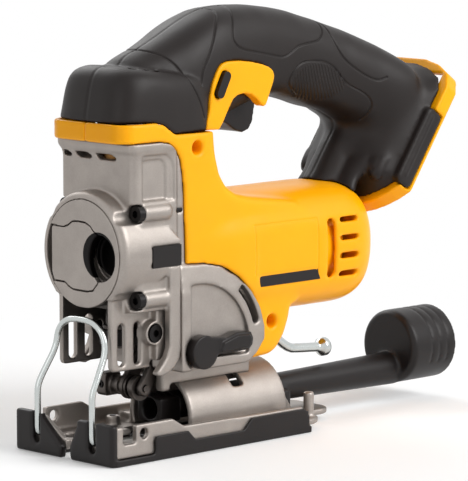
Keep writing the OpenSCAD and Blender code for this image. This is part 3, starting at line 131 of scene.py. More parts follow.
class Wire:
    """One output socket, so that sums on it add Math nodes."""

    def __init__(self, tree, socket):
        self.tree, self.socket = tree, socket

    def sum_of(self, operation, a, b=None):
        node = self.tree.nodes.new("ShaderNodeMath")
        node.operation = operation
        for place, value in zip(node.inputs, (a, b)):
            if isinstance(value, Wire):
                self.tree.links.new(value.socket, place)
            elif value is not None:
                place.default_value = value
        return Wire(self.tree, node.outputs[0])

    def __add__(self, other):
        return self.sum_of("ADD", self, other)

    __radd__ = __add__

    def __mul__(self, other):
        return self.sum_of("MULTIPLY", self, other)

    __rmul__ = __mul__

    def __sub__(self, other):
        return self.sum_of("SUBTRACT", self, other)

    def __rsub__(self, other):
        return self.sum_of("SUBTRACT", other, self)

    def __truediv__(self, other):
        return self.sum_of("DIVIDE", self, other)

    def __pow__(self, other):
        return self.sum_of("POWER", self, other)

    def __lt__(self, other):
        return self.sum_of("LESS_THAN", self, other)

    def __gt__(self, other):
        return self.sum_of("GREATER_THAN", self, other)

    def sine(self):
        return self.sum_of("SINE", self)

    def size(self):
        return self.sum_of("ABSOLUTE", self)

    def most(self, other):
        return self.sum_of("MAXIMUM", self, other)

    def least(self, other):
        return self.sum_of("MINIMUM", self, other)

    def between_0_and_1(self):
        return self.most(0.0).least(1.0)


print("sockets can be added, multiplied and compared")

# %% Trees and finishes
class NodeSheet:
    """A node tree being written."""

    def __init__(self, tree):
        self.tree = tree

    def node(self, kind, sockets=None, output=0, **settings):
        """Adds a node: its settings, then its sockets' values or links; gives back one output."""
        node = self.tree.nodes.new("ShaderNode" + kind)
        for name, value in settings.items():
            setattr(node, name, value)
        for name, value in (sockets or {}).items():
            if isinstance(value, Wire):
                self.tree.links.new(value.socket, node.inputs[name])
            else:
                node.inputs[name].default_value = value
        return Wire(self.tree, node.outputs[output])

    def three(self, vector):
        """The three numbers of a vector, each as a wire."""
        parts = self.node("SeparateXYZ", {0: vector})
        return tuple(Wire(self.tree, socket) for socket in parts.socket.node.outputs)

    def sees_background(self):
        """1 for what the camera sees, straight, in a reflection or through glass, and 0 for light."""
        rays = ("Is Camera Ray", "Is Glossy Ray", "Is Transmission Ray")
        straight, mirrored, through = (self.node("LightPath", output=ray) for ray in rays)
        return (straight + mirrored + through).least(1.0)


class Finish(NodeSheet):
    """A material built round one Principled shader. Constants are set on the shader's own sockets."""

    def __init__(self, name, **constants):
        self.material = bpy.data.materials.new(name)
        self.material.use_nodes = True
        super().__init__(self.material.node_tree)
        self.shader = next(n for n in self.tree.nodes if n.type == "BSDF_PRINCIPLED")
        for socket, value in constants.items():
            self.shader.inputs[socket.replace("_", " ")].default_value = value

    def place(self):
        """Where a point lies on the tool, in metres: every part keeps its origin at the frame's."""
        return self.node("TexCoord", output="Object")

    def axes(self):
        """The three coordinates of a point on the tool, each as a wire."""
        return self.three(self.place())

    def noise(self, size_mm, detail=3.0, rough=0.5):
        """A soft random value between 0 and 1 whose blobs are about size_mm across."""
        sockets = {"Vector": self.place(), "Scale": 1000.0 / size_mm, "Detail": detail, "Roughness": rough}
        return self.node("TexNoise", sockets, output="Fac")

    def tint(self, mask, low, high):
        """A colour between two colours, by a mask; a colour may be a wire."""
        low, high = (c if isinstance(c, Wire) else (*c, 1.0) for c in (low, high))
        return self.node("Mix", {0: mask, 6: low, 7: high}, output=2, data_type="RGBA")

    def paint(self, **sockets):
        """Links wires to the shader's sockets."""
        for name, wire in sockets.items():
            self.tree.links.new(wire.socket, self.shader.inputs[name.replace("_", " ")])

    def grain(self, height, depth_mm, after=None):
        """Turns a height into a small relief on the Normal; a second relief may go on top of a first."""
        sockets = {"Height": height, "Strength": 1.0, "Distance": depth_mm * MM}
        if after is not None:
            sockets["Normal"] = after
        return self.node("Bump", sockets)


print("shader helpers ready")

# %% [markdown]
# ## Moulded plastic
# The yellow shell and the black covers are injection moulded. The tool steel of the mould was spark
# eroded, which leaves a fine dull grain on the plastic: a tiny relief, and patches that shine a little
# more where hands have rubbed it. Noise at two sizes gives both.

# %% Plastics
PLASTIC_CLOUD_MM, PLASTIC_IOR = 14.0, 1.5
GRAIN_SHINE = 0.16


def moulded(name, colour, shade, roughness, gloss, grain_mm, depth_mm, rub=0.10, ribs=None):
    """A moulded plastic: a fine grain, faint clouding of the colour and rubbed, shinier patches."""
    plastic = Finish(name, IOR=PLASTIC_IOR, Specular_IOR_Level=gloss)
    clouds = plastic.noise(PLASTIC_CLOUD_MM, 4.0)
    fine = plastic.noise(grain_mm, 2.0, 0.6)
    relief = plastic.grain(fine, depth_mm)
    if ribs:
        relief = ribs(plastic, relief)
    plastic.paint(
        Base_Color=plastic.tint(clouds, linear(*shade), linear(*colour)),
        Roughness=roughness + (fine - 0.5) * GRAIN_SHINE - (clouds - 0.5) * rub,
        Normal=relief,
    )
    return plastic.material


yellow = moulded(
    "moulded_yellow", (255, 176, 0), (252, 167, 0), roughness=0.34, gloss=0.22, grain_mm=0.35, depth_mm=0.012)
black = moulded(
    "moulded_black", (28, 23, 22), (20, 16, 16), roughness=0.40, gloss=0.28, grain_mm=0.4, depth_mm=0.014)
print("plastics", yellow.name, black.name)

# %% [markdown]
# ## Rubber with a ribbed finger pad
# The overmould is a softer plastic with a coarser grain. Where the fingertips close round the handle it
# has fine bowed ribs, 1.8 mm apart, which are a sine wave kept inside an oval.

# %% Rubber
RIB_PITCH, RIB_DEPTH_MM = 0.0018, 0.16
RIB_TOP, RIB_LEAN, RIB_BOW = 0.175, 0.25, 16.0
PAD_X, PAD_HALF_LENGTH, PAD_LEAN = 0.1115, 0.0165, -0.35
PAD_Z, PAD_HALF_HEIGHT = 0.1665, 0.0095
PAD_FADE, PAD_FROM_MIDDLE = 6.0, 0.008


def finger_ribs(plastic, relief):
    """Adds the ribs of the finger pads, on both flanks of the handle, to a relief."""
    x, y, z = plastic.axes()
    down = z - RIB_TOP
    wave = ((x + down * RIB_LEAN - down * down * RIB_BOW) * (2 * math.pi / RIB_PITCH)).sine()
    spread = ((x - PAD_X - down * PAD_LEAN) / PAD_HALF_LENGTH) ** 2 + ((z - PAD_Z) / PAD_HALF_HEIGHT) ** 2
    pad = ((1.0 - spread) * PAD_FADE).between_0_and_1() * (y.size() > PAD_FROM_MIDDLE)
    return plastic.grain(wave * pad, RIB_DEPTH_MM, after=relief)


rubber = moulded(
    "soft_black_overmould", (33, 27, 25), (25, 20, 19), roughness=0.46, gloss=0.26, grain_mm=0.45,
    depth_mm=0.02, rub=0.16, ribs=finger_ribs)
print("rubber", rubber.name)

# %% [markdown]
# ## The inlay under the label field
# The band is a separate bare moulding let into each side. It is dark grey on the lever's side, and has
# the housing's yellow on the other, so one finish looks at which side of the mid-plane it is on.

# %% Inlay
def inlay():
    """The band's plastic: dark grey on the near side, yellow on the far side."""
    plastic = Finish("label_inlay", IOR=PLASTIC_IOR, Specular_IOR_Level=0.22)
    fine = plastic.noise(0.35, 2.0, 0.6)
    far_side = plastic.axes()[1] > 0.0
    plastic.paint(
        Base_Color=plastic.tint(far_side, linear(34, 30, 30), linear(254, 172, 0)),
        Roughness=0.36 + (fine - 0.5) * GRAIN_SHINE,
        Normal=plastic.grain(fine, 0.01),
    )
    return plastic.material


band = inlay()
print("inlay", band.name)

# %% [markdown]
# ## Metals
# The gear case, its cover and the shoe are die castings: shot-blasted aluminium, pale grey, with a fine
# pebbled skin and slightly darker pools where the blasting reached less. The wire guard and the bevel
# lever are bright zinc-plated rod, the screws are blackened steel.

# %% Metals
METAL_CLOUD_MM = 9.0


def metal(name, colour, shade, roughness, grain_mm, depth_mm, metallic=1.0):
    """A metal skin: two colours clouded together, and a relief of one grain size."""
    skin = Finish(name, Metallic=metallic)
    clouds = skin.noise(METAL_CLOUD_MM, 4.0)
    fine = skin.noise(grain_mm, 3.0, 0.6)
    skin.paint(
        Base_Color=skin.tint(clouds, linear(*shade), linear(*colour)),
        Roughness=roughness + (fine - 0.5) * 0.12,
        Normal=skin.grain(fine, depth_mm),
    )
    return skin.material


# name, the two colours, roughness, then the grain's size and depth in millimetres
plated = metal("zinc_plate", (206, 210, 208), (184, 189, 188), 0.22, 0.5, 0.006)
blackened = metal("blackened_steel", (46, 44, 44), (34, 33, 33), 0.34, 0.5, 0.01, 0.9)
ground = metal("ground_steel", (104, 98, 94), (78, 73, 70), 0.42, 0.4, 0.01)
sintered = metal("sintered_bronze", (150, 112, 66), (128, 92, 54), 0.45, 0.3, 0.02)
brass = metal("brass", (206, 170, 92), (186, 150, 78), 0.30, 0.4, 0.008)
copper = metal("copper", (196, 120, 84), (176, 100, 68), 0.32, 0.4, 0.01)
print("metals", [m.name for m in (plated, blackened, ground, sintered, brass, copper)])

# %% [markdown]
# ## The castings
# Little light reaches the bottom of the finger hole or the inside of the tower. Both places are found by
# their coordinates and painted nearly black: this is painted shade, not a colour of the metal.

# %% Blasted castings
HOLE_Y, HOLE_Z, HOLE_RADIUS, HOLE_REAR_X = -0.0116, 0.0943, 0.0110, 0.001
TOWER_HALF_WIDTH, TOWER_LOW, TOWER_HIGH = 0.0157, 0.0402, 0.074
TOWER_FRONT_X, TOWER_REAR_X, TOWER_DARKNESS = -0.0208, 0.0134, 0.72
# the near-black colour painted into the finger hole and the tower as shade
PAINTED_SHADE = (0.006, 0.005, 0.005)


def blasted(name):
    """The casting's skin: pebbled grey, with painted shade inside the tower and the finger hole."""
    skin = Finish(name, Metallic=0.85)
    clouds = skin.noise(METAL_CLOUD_MM, 4.0)
    fine = skin.noise(0.7, 3.0, 0.65)
    x, y, z = skin.axes()
    # painted shade: the finger hole and the inside of the tower are masked and darkened nearly to black
    hole = (((y - HOLE_Y) ** 2 + (z - HOLE_Z) ** 2) < HOLE_RADIUS ** 2) * (x < HOLE_REAR_X)
    inside = (y.size() < TOWER_HALF_WIDTH) * (z < TOWER_HIGH) * (z > TOWER_LOW)
    inside = inside * (x > TOWER_FRONT_X) * (x < TOWER_REAR_X)
    blasted_grey = skin.tint(clouds * 0.5 + fine * 0.5, linear(134, 127, 122), linear(180, 172, 165))
    skin.paint(
        Base_Color=skin.tint(hole.most(inside * TOWER_DARKNESS), blasted_grey, PAINTED_SHADE),
        Roughness=0.46 + (fine - 0.5) * 0.2,
        Normal=skin.grain(fine, 0.06),
    )
    return skin.material


casting = blasted("blasted_casting")
print("casting", casting.name)

# %% Give every node its finish
FINISH_OF_SLOT = {
    "yellow_plastic": yellow,
    "black_rubber": rubber,
    "black_plastic": black,
    "cast_aluminium": casting,
    "zinc": plated,
    "dark_steel": blackened,
    "steel": ground,
    "bronze": sintered,
    "brass": brass,
    "copper": copper,
}
for node in frame["nodes"].values():
    for place in node.material_slots:
        place.material = FINISH_OF_SLOT[place.material.name.split(".")[0]]
frame["nodes"]["label_band"].material_slots[0].material = band
frame["nodes"]["roller_fork"].material_slots[0].material = ground
print("finished", len(frame["nodes"]), "nodes")

# %% [markdown]
# ## Smooth shells
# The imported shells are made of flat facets, and a real moulding has none: its surfaces flow, and its
# edges are rounded by the mould maker's cutter. Subdividing the facets would keep their kinks. So each
# shell is copied, turned into an even net of small squares, and relaxed: every point moves towards the
# middle of its neighbours, many times where the shell should flow, and only a few times beside an edge
# that should stay.

# %% Copy parts into one welded mesh
WELD = 0.002 * MM
CRISP_ANGLE = math.radians(38.0)
CRISP_STEP = 0.8 * MM


def welded(names):
    """One mesh of these parts, with the corners that their triangles share joined."""
    mesh = bmesh.new()
    for name in names:
        mesh.from_mesh(frame["nodes"][name].data)
    bmesh.ops.remove_doubles(mesh, verts=mesh.verts, dist=WELD)
    return mesh


def crisp_points(mesh):
    """Points along every edge that turns by more than an angle: the edges that a shell keeps."""
    points = []
    for edge in mesh.edges:
        if len(edge.link_faces) == 2 and edge.calc_face_angle(0.0) > CRISP_ANGLE:
            a, b = (v.co for v in edge.verts)
            count = max(1, round((b - a).length / CRISP_STEP))
            points += [a.lerp(b, i / count) for i in range(count + 1)]
    tree = KDTree(max(1, len(points)))
    for i, point in enumerate(points):
        tree.insert(point, i)
    tree.balance()
    return tree


print("an edge is kept where it turns by more than", round(math.degrees(CRISP_ANGLE)), "degrees")

# %% Turn a mesh into an even net
def own_mesh(item):
    """The mesh that an object shows once its modifiers or its bevel have worked."""
    return bpy.data.meshes.new_from_object(item.evaluated_get(bpy.context.evaluated_depsgraph_get()))


def settle(piece):
    """Gives a piece the mesh that its modifiers made, and takes the modifiers away."""
    net = own_mesh(piece)
    piece.modifiers.clear()
    old, piece.data = piece.data, net
    bpy.data.meshes.remove(old)


def even_net(mesh, voxel_mm, name):
    """A new object whose surface is an even net of small squares over the mesh."""
    data = bpy.data.meshes.new(name)
    mesh.to_mesh(data)
    piece = placed(name, data)
    step = piece.modifiers.new("net", "REMESH")
    step.mode, step.voxel_size = "VOXEL", voxel_mm * MM
    settle(piece)
    return piece


MOST_TRIANGLES = 120000


def lighten(piece, most=MOST_TRIANGLES):
    """Merges the smallest squares of a heavy net until it has at most so many triangles."""
    heavy = sum(len(face.vertices) - 2 for face in piece.data.polygons)
    if heavy > most:
        piece.modifiers.new("lighten", "DECIMATE").ratio = most / heavy
        settle(piece)


print("nets ready")

# %% Relax a net
def points_of(piece):
    """The points of a mesh as rows of x, y, z in metres."""
    flat = np.zeros(len(piece.data.vertices) * 3)
    piece.data.vertices.foreach_get("co", flat)
    return flat.reshape(-1, 3)


def put_points(piece, points):
    """Writes the rows back."""
    piece.data.vertices.foreach_set("co", points.ravel())
    piece.data.update()


def relax(piece, rounds, share=1.0):
    """Moves each point half of the way to its neighbours' middle, by a share from 0 to 1, in rounds."""
    points = points_of(piece)
    ends = np.zeros(len(piece.data.edges) * 2, np.int64)
    piece.data.edges.foreach_get("vertices", ends)
    a, b = ends[0::2], ends[1::2]
    total = len(points)
    neighbours = np.maximum(np.bincount(a, minlength=total) + np.bincount(b, minlength=total), 1)
    pull = 0.5 * (share if np.isscalar(share) else share[:, None])
    for _ in range(rounds):
        sums = [np.bincount(a, points[b, i], total) + np.bincount(b, points[a, i], total) for i in range(3)]
        points += pull * (np.stack(sums, 1) / neighbours[:, None] - points)
    put_points(piece, points)


KEPT_MM, LOOSE_MM = 1.2, 6.0


def far_from(piece, tree):
    """0 within KEPT_MM of the kept edges, rising to 1 at LOOSE_MM."""
    distance = np.array([tree.find(v.co)[2] for v in piece.data.vertices]) / MM
    return np.clip((distance - KEPT_MM) / (LOOSE_MM - KEPT_MM), 0.0, 1.0)


print("points stay within", KEPT_MM, "mm of a kept edge")

# %% Make a piece stand for parts
def shade_smooth(piece):
    """Lets light flow over the edges between a piece's faces."""
    piece.data.polygons.foreach_set("use_smooth", [True] * len(piece.data.polygons))


def dress(piece, names, body, material):
    """Makes a piece stand for these parts, ride on their body and take their finish."""
    piece.data.materials.clear()
    piece.data.materials.append(material)
    shade_smooth(piece)
    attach(piece, body)
    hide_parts(*names)
    print(piece.name, len(piece.data.polygons), "faces")
    return piece


def flowing_shell(name, names, voxel_mm, rounds, finish, last=4, body="root"):
    """A smooth copy of one or more parts."""
    mesh = welded(names)
    tree = crisp_points(mesh)
    piece = even_net(mesh, voxel_mm, name)
    mesh.free()
    relax(piece, rounds, far_from(piece, tree))
    relax(piece, last)
    lighten(piece)
    return dress(piece, names, body, finish)


HOUSING_VOXEL, HOUSING_ROUNDS = 0.9, 60
flowing_shell(
    "housing_right_shell", ["right_housing"], HOUSING_VOXEL, HOUSING_ROUNDS, yellow)

# %% [markdown]
# ## The grip flows into the battery foot
# On the real tool the rubber of the handle runs over the shoulders of the foot without a step. The parts
# only cross each other, so the two grip halves and the foot are turned into one net, relaxed hardest
# where they meet, and cut into three pieces again. The pieces keep the directions of the one net along
# the cuts, so no seam shows there.

# %% One skin for grip and foot
GRIP = ["left_overmould", "right_overmould", "battery_foot"]
GRIP_VOXEL = 0.8
RAIL_SLOPE = math.radians(55)
MEETING_BEHIND, BEHIND_FADE = 57.5, 4.0
MEETING_X, X_FADE, MEETING_Z = 138, 14, 0.128


def behind_rails(points):
    """How far back each point lies, square to the battery rails, in millimetres."""
    return points[:, 0] / MM * math.sin(RAIL_SLOPE) - points[:, 2] / MM * math.cos(RAIL_SLOPE)


skin_mesh = welded(GRIP)
kept = crisp_points(skin_mesh)
skin = even_net(skin_mesh, GRIP_VOXEL, "grip_and_foot")
skin_mesh.free()
start = points_of(skin)
blend = np.clip((MEETING_BEHIND - behind_rails(start)) / BEHIND_FADE, 0, 1)
blend *= np.clip((start[:, 0] / MM - MEETING_X) / X_FADE, 0, 1) * (start[:, 2] > MEETING_Z)
relax(skin, 90, np.maximum(far_from(skin, kept), 0.6 * blend))  # flow, and begin the blend
relax(skin, 260, blend)                                         # only where grip and foot meet
relax(skin, 3)                                                  # take the last steps out
print("grip and foot", len(start), "points")

# %% [markdown]
# ## Grooves round the pads
# The rubber is moulded in pads with a fine groove round each. A groove is narrower than the net, so the
# squares along it are first divided, and then the points close to its line sink a little along the
# normal.

# %% Distance to a bent line
def distance_to_line(points, line):
    """How far each point is from a bent line, both seen from the side, in millimetres."""
    spots = points[:, [0, 2]] / MM
    best = np.full(len(spots), np.inf)
    for a, b in zip(line, line[1:]):
        a, b = np.array(a, float), np.array(b, float)
        share = np.clip(((spots - a) @ (b - a)) / ((b - a) @ (b - a)), 0, 1)
        best = np.minimum(best, np.linalg.norm(spots - a - share[:, None] * (b - a), axis=1))
    return best


def rounded_line(line, passes=2):
    """Cuts the corners of a bent line, twice, so that it curves."""
    for _ in range(passes):
        inner = [((3 * a[0] + b[0]) / 4, (3 * a[1] + b[1]) / 4) for a, b in zip(line, line[1:])]
        outer = [((a[0] + 3 * b[0]) / 4, (a[1] + 3 * b[1]) / 4) for a, b in zip(line, line[1:])]
        line = [line[0]] + [p for pair in zip(inner, outer) for p in pair] + [line[-1]]
    return line


print("lines ready")

# %% Sink a groove
NEAR_SIDE_Y = -0.02
OUTWARD = -0.15


def normals_of(piece):
    """The outward direction at each point."""
    flat = np.zeros(len(piece.data.vertices) * 3)
    piece.data.vertices.foreach_get("normal", flat)
    return flat.reshape(-1, 3)


def outside(piece, near_side):
    """True on the outer face of a shell that is symmetrical about the mid-plane, or on its near side."""
    y = points_of(piece)[:, 1]
    outer = normals_of(piece)[:, 1] * np.sign(y) > OUTWARD
    return outer & (y < NEAR_SIDE_Y) if near_side else outer


def divide_near(piece, distance, reach_mm):
    """Divides every face whose corners all lie within reach_mm of a line into four."""
    mesh = bmesh.new()
    mesh.from_mesh(piece.data)
    close = distance < reach_mm
    faces = [f for f in mesh.faces if all(close[v.index] for v in f.verts)]
    edges = {e for f in faces for e in f.edges}
    bmesh.ops.subdivide_edges(mesh, edges=list(edges), cuts=1, use_grid_fill=True, use_smooth_even=True)
    bmesh.ops.triangulate(mesh, faces=[f for f in mesh.faces if len(f.verts) > 4])
    mesh.to_mesh(piece.data)
    mesh.free()


def groove(piece, lines, depth_mm, width_mm, reaches_mm, near_side=False):
    """Sinks a round-bottomed groove along bent lines, on the outer face."""
    def distance():
        points = points_of(piece)
        return np.min([distance_to_line(points, line) for line in lines], axis=0)

    for reach in reaches_mm:
        divide_near(piece, np.where(outside(piece, near_side), distance(), np.inf), reach)
    sink = depth_mm * MM * np.exp(-((distance() / (width_mm / 2)) ** 2)) * outside(piece, near_side)
    put_points(piece, points_of(piece) - normals_of(piece) * sink[:, None])
    shade_smooth(piece)


print("a groove lies on the outer face only")

# %% Grooves of the grip
PAD_LINES = {
    "front pad": [(54, 204), (51, 201), (47, 197), (42, 189), (38, 182), (34.5, 177), (33, 170)],
    "cap side": [(11, 187), (17, 184), (22, 178), (26, 170), (31, 162), (34, 155)],
    "top pad": [
        (65, 206), (62, 203.5), (59, 200), (55.5, 193), (56, 188.5), (61, 185.3), (74, 183), (84, 181),
        (90, 180), (95, 182), (99, 184.6), (105, 185.8), (113, 186.3), (117, 188.5), (120, 192),
        (121.5, 197)],
    "rear pad": [
        (123, 198), (124, 193), (124, 188), (127, 181), (131, 176), (138, 171), (144, 167.6),
        (150, 165.4), (155, 167)],
    "finger pad": [
        (106, 160), (99, 164), (95.8, 167.5), (96, 171), (99, 174.8), (103, 177), (109, 177.4),
        (118, 176.4), (123.5, 173.4), (128, 168.6), (133, 164.2), (140, 161), (145, 158), (148, 154),
        (148, 150), (147, 146)],
}
SEAM_DEPTH, SEAM_HALF_WIDTH = 0.35 * MM, 0.6 * MM
SKIN_TRIANGLES = 300000

pad_lines = [rounded_line(line) for line in PAD_LINES.values()]
groove(skin, pad_lines, depth_mm=0.55, width_mm=0.9, reaches_mm=(2.6, 1.5))
points = points_of(skin)
seam = SEAM_DEPTH * np.exp(-((points[:, 1] / SEAM_HALF_WIDTH) ** 2))
put_points(skin, points - normals_of(skin) * seam[:, None])
lighten(skin, SKIN_TRIANGLES)
print("with grooves", len(skin.data.vertices), "points")

# %% [markdown]
# ## The label field
# The left half of the motor housing has a shallow bare field for a label, edged by a fine step. Its
# corners stay sharp, and the far half has none.

# %% Left housing with its label field
LABEL_FIELD = [(60.5, 79), (60.5, 102.5), (102.5, 102.5), (102.5, 73.5)]
left_shell = flowing_shell(
    "housing_left_shell", ["left_housing"], HOUSING_VOXEL, HOUSING_ROUNDS, yellow)
groove(left_shell, [LABEL_FIELD], depth_mm=0.28, width_mm=0.8, reaches_mm=(2.4, 1.4), near_side=True)
print("label field", len(left_shell.data.polygons), "faces")

# %% [markdown]
# ## The motor vents
# Slots on both sides let the motor breathe. Behind them a curved yellow wall keeps fingers off the motor.
# It is a bent sheet, drawn as rows of points round the motor's axis and given a thickness by Solidify.

# %% The wall behind the vents
VENT_STATIONS = [(100.5, 27.1), (110, 27.1), (118, 26.6), (124, 24.6), (129, 20.5)]
MOTOR_AXIS_Z, VENT_SWEEP, VENT_STEPS = 87, 62, 24
VENT_THICKNESS = 0.8 * MM


def vent_wall():
    """A curved sheet behind the slots of both sides, with a little thickness."""
    mesh = bmesh.new()
    for side in (-1, 1):
        rows = []
        for x, radius in VENT_STATIONS:
            row = []
            for i in range(VENT_STEPS + 1):
                turn = math.radians(-VENT_SWEEP + 2 * VENT_SWEEP * i / VENT_STEPS)
                place = (x, side * radius * math.cos(turn), MOTOR_AXIS_Z + radius * math.sin(turn))
                row.append(mesh.verts.new(Vector(place) * MM))
            rows.append(row)
        for low, high in zip(rows, rows[1:]):
            for i in range(VENT_STEPS):
                mesh.faces.new((low[i], high[i], high[i + 1], low[i + 1]))
    bmesh.ops.recalc_face_normals(mesh, faces=mesh.faces)
    data = bpy.data.meshes.new("vent_wall")
    mesh.to_mesh(data)
    mesh.free()
    piece = placed("vent_wall", data)
    sheet = piece.modifiers.new("sheet", "SOLIDIFY")
    sheet.thickness, sheet.offset = VENT_THICKNESS, 0.0
    data.materials.append(yellow)
    shade_smooth(piece)
    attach(piece, "root")
    print("vent wall", len(data.polygons), "faces")


vent_wall()

# %% [markdown]
# ## Three pieces again
# Each face of the one skin goes to the part that its middle is nearest to. Left and right part at the
# mid-plane, and only the rear is compared with the foot. The directions of the one skin are copied to the
# cut pieces, because a piece that works out its own would show a line along the cut.

# %% Cut the skin into its three pieces
FOOT_STARTS_X = 0.125


def nearest_part(points, names):
    """For each point, which of the parts its nearest surface belongs to."""
    gaps = []
    for name in names:
        mesh = welded([name])
        tree = BVHTree.FromBMesh(mesh)
        gaps.append([tree.find_nearest(Vector(p))[3] for p in points])
        mesh.free()
    return np.argmin(np.array(gaps), axis=0)


def cut_out(source, faces, name):
    """A piece made of some of the faces of another, and the other's directions at its points."""
    corners = [list(source.data.polygons[f].vertices) for f in faces]
    used = sorted({v for face in corners for v in face})
    place = {v: i for i, v in enumerate(used)}
    spots = [source.data.vertices[v].co for v in used]
    data = bpy.data.meshes.new(name)
    data.from_pydata(spots, [], [[place[v] for v in face] for face in corners])
    return placed(name, data), [source.data.vertices[v].normal.copy() for v in used]


middles = np.zeros(len(skin.data.polygons) * 3)
skin.data.polygons.foreach_get("center", middles)
middles = middles.reshape(-1, 3)
LEFT, RIGHT, FOOT = range(3)
owner = np.where(middles[:, 1] < 0, LEFT, RIGHT)
rear = np.nonzero(middles[:, 0] > FOOT_STARTS_X)[0]
owner[rear[nearest_part(middles[rear], GRIP) == FOOT]] = FOOT
for label, name in ((LEFT, "grip_left_shell"), (RIGHT, "grip_right_shell"), (FOOT, "foot_shell")):
    piece, directions = cut_out(skin, np.nonzero(owner == label)[0].tolist(), name)
    dress(piece, [GRIP[label]], "root", rubber)
    piece.data.normals_split_custom_set_from_vertices(directions)
bpy.data.objects.remove(skin)

# %% [markdown]
# ## Soft edges on castings and small mouldings
# A die casting has no sharp edge either: the die is rounded a little everywhere. The same net, finer and
# hardly relaxed, gives each edge a small round that catches the light. Each part has its own size of
# square, in millimetres: the smaller the part, the finer the net.

# %% Rounded castings and small mouldings
SOFT_EDGED = {
    "front_cover": 0.6, "gear_case": 0.75, "disc_cap": 0.5, "release_lever": 0.5, "shoe": 0.7,
    "shoe_cover": 0.75, "switch_plates": 0.6, "trigger": 0.6, "battery_plate": 0.6,
    "orbital_lever": 0.45, "dust_spout": 0.8, "bevel_lever": 0.45, "bevel_barrel": 0.7, "yoke": 0.5,
    "roller_fork": 0.5,
}
ROUNDS_AND_LAST = {"trigger": (30, 4), "battery_plate": (0, 8)}
FEW_ROUNDS = (0, 3)
for name, voxel in SOFT_EDGED.items():
    node = frame["nodes"][name]
    material = node.material_slots[0].material
    rounds, last = ROUNDS_AND_LAST.get(name, FEW_ROUNDS)
    flowing_shell(name + "_soft", [name], voxel, rounds, material, last, node["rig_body"])

# %% [markdown]
# ## The trigger's return spring
# The spring sits between the trigger and the switch and closes up as the trigger is pulled. Its copy
# rides on the spring's own body and has a mesh of its own.

# %% Return spring
def return_spring():
    """A copy of the spring, with a mesh of its own."""
    node = frame["nodes"]["trigger_spring"]
    piece = placed("return_spring", node.data.copy())
    dress(piece, ["trigger_spring"], node["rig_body"], ground)
    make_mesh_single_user(piece)


return_spring()

# %% [markdown]
# ## The wire guard
# One length of 3 mm zinc-plated wire, bent round a jig: it rises from the shoe, leans back in two soft
# S-bends and closes in an arch. A bent wire has no corner anywhere, so its line is drawn through a few
# points, divided evenly, relaxed until it flows, and given its thickness.

# %% Bend the guard wire
GUARD_HALF = [
    (-25.8, 19, 9), (-33.8, 19, 9), (-33.8, 19, 32), (-31, 18.7, 37), (-25.2, 17.4, 47),
    (-23.6, 17, 51), (-23.6, 16.4, 56), (-23.6, 13.5, 60.4), (-23.6, 8.5, 63.2), (-23.6, 3, 63.9)]
GUARD_RADIUS = 1.5 * MM


def flowing_line(corners, step_mm, rounds):
    """Points along a bent line, evenly spaced and relaxed with both ends held."""
    line = []
    for a, b in zip(corners, corners[1:]):
        count = max(1, round(math.dist(a, b) / step_mm))
        line += [np.array(a) + (np.array(b) - np.array(a)) * i / count for i in range(count)]
    line = np.array(line + [np.array(corners[-1], float)])
    for _ in range(rounds):
        line[1:-1] = (line[:-2] + line[2:]) / 4 + line[1:-1] / 2
    return line


def wire(name, line, radius, node, material, slot):
    """A round wire along a line, in place of a node."""
    curve = bpy.data.curves.new(name, "CURVE")
    curve.dimensions, curve.bevel_depth, curve.bevel_resolution = "3D", radius, 5
    curve.use_fill_caps = True
    spline = curve.splines.new("POLY")
    spline.points.add(len(line) - 1)
    for place, point in zip(spline.points, line):
        place.co = (*(point * MM), 1.0)
    bent = placed(name + "_line", curve)
    data = own_mesh(bent)
    bpy.data.objects.remove(bent)
    dress(placed(name, data), [node], frame["nodes"][node]["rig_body"], material)


guard_corners = GUARD_HALF + [(x, -y, z) for x, y, z in reversed(GUARD_HALF)]
guard_line = flowing_line(guard_corners, step_mm=0.8, rounds=14)
wire("guard_wire", guard_line, GUARD_RADIUS, "wire_guard", plated, "zinc")

# %% [markdown]
# ## The studio
# A white floor runs back without an edge. The largest soft lamp stands above the near side towards the
# rear, a weak one in front, and a third beyond the far side. The lamps are kept at a plain level, so that
# a colour renders about as written. The white of floor and background is a glow that the camera sees and
# that shiny surfaces mirror, and it adds no other light to the tool.

# %% Floor
FLOOR_HALF, FLOOR_DROP = 6.0, 0.2 * MM
FLOOR_CENTRE = (0.07, 0.0, 0.0)
GLOW_FROM, GLOW_OVER = 0.14, 0.22
NEAR_GLOW, FAR_GLOW = 0.17, 1.0
WHITE = (1, 1, 1, 1)


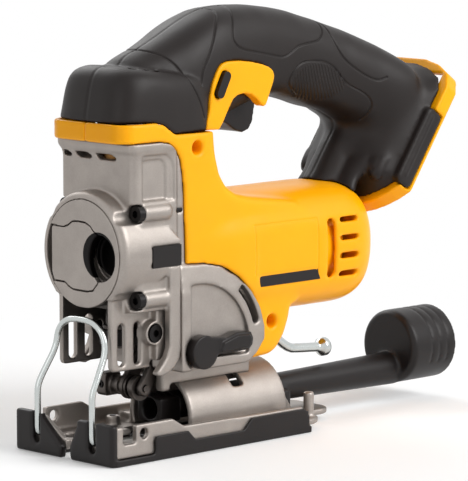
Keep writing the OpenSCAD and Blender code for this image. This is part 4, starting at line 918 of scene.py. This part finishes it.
def add_floor():
    """A wide floor a hair under the sole, as paper near the tool and as plain white further off."""
    low, half = cad_box[0][2] - FLOOR_DROP, FLOOR_HALF
    mesh = bpy.data.meshes.new("floor")
    corners = [(-half, -half, low), (half, -half, low), (half, half, low), (-half, half, low)]
    mesh.from_pydata(corners, [], [(0, 1, 2, 3)])
    floor = placed("floor", mesh)
    paper = Finish("white_paper", Roughness=0.7, Specular_IOR_Level=0.2)
    paper.shader.inputs["Base Color"].default_value = (0.86, 0.86, 0.86, 1)
    place = paper.node("VectorMath", {0: paper.place(), 1: FLOOR_CENTRE}, operation="SUBTRACT")
    reach = paper.node("VectorMath", {0: place}, output=1, operation="LENGTH")
    far = ((reach - GLOW_FROM) / GLOW_OVER).between_0_and_1()
    plain = Wire(paper.tree, paper.shader.outputs[0])
    near_glow = paper.node("Emission", {"Color": WHITE, "Strength": NEAR_GLOW})
    far_glow = paper.node("Emission", {"Color": WHITE, "Strength": FAR_GLOW})
    lit = paper.node("AddShader", {0: plain, 1: near_glow})
    shown = paper.node("MixShader", {0: far, 1: lit, 2: far_glow})
    both = paper.node("MixShader", {0: paper.sees_background(), 1: plain, 2: shown})
    out = next(n for n in paper.tree.nodes if n.type == "OUTPUT_MATERIAL")
    paper.tree.links.new(both.socket, out.inputs["Surface"])
    mesh.materials.append(paper.material)
    print("floor at", low)


add_floor()

# %% Lamps
def add_lamp(name, place, width, height, watts):
    """A soft rectangular lamp at a place, turned towards the tool."""
    lamp = bpy.data.lights.new(name, "AREA")
    lamp.shape = "RECTANGLE"
    lamp.size, lamp.size_y, lamp.energy = width, height, watts
    item = placed(name, lamp)
    item.location = place
    item.rotation_euler = (LOOK_AT - Vector(place)).to_track_quat("-Z", "Y").to_euler()


add_lamp("key", (0.7, -1.5, 1.2), 1.2, 1.2, 29.0)
add_lamp("front", (-1.5, -0.3, 0.7), 0.9, 1.2, 3.0)
add_lamp("back", (0.4, 1.4, 1.2), 1.2, 0.8, 10.0)

# %% [markdown]
# ## The room's light
# The rest of the light comes from the room: brighter towards the rear of the near side and the ceiling,
# dimmer beyond the far side. It is the world's own light, and the camera sees plain white instead of it.

# %% World
ROOM_PLAIN, ROOM_SIDE, ROOM_UP, ROOM_DARKEST = 0.38, 0.24, 0.12, 0.08

world = bpy.data.worlds.new("studio")
bpy.context.scene.world = world
world.use_nodes = True
sky = NodeSheet(world.node_tree)
background = next(n for n in sky.tree.nodes if n.type == "BACKGROUND")
background.inputs["Color"].default_value = WHITE
rearward, far, up = sky.three(sky.node("TexCoord", output="Generated"))
room = ((rearward - far) * ROOM_SIDE + up * ROOM_UP + ROOM_PLAIN).most(ROOM_DARKEST)
seen = sky.sees_background()
sky.tree.links.new((seen + (1 - seen) * room).socket, background.inputs["Strength"])
bpy.context.scene.view_settings.view_transform = "Standard"
print("studio ready")
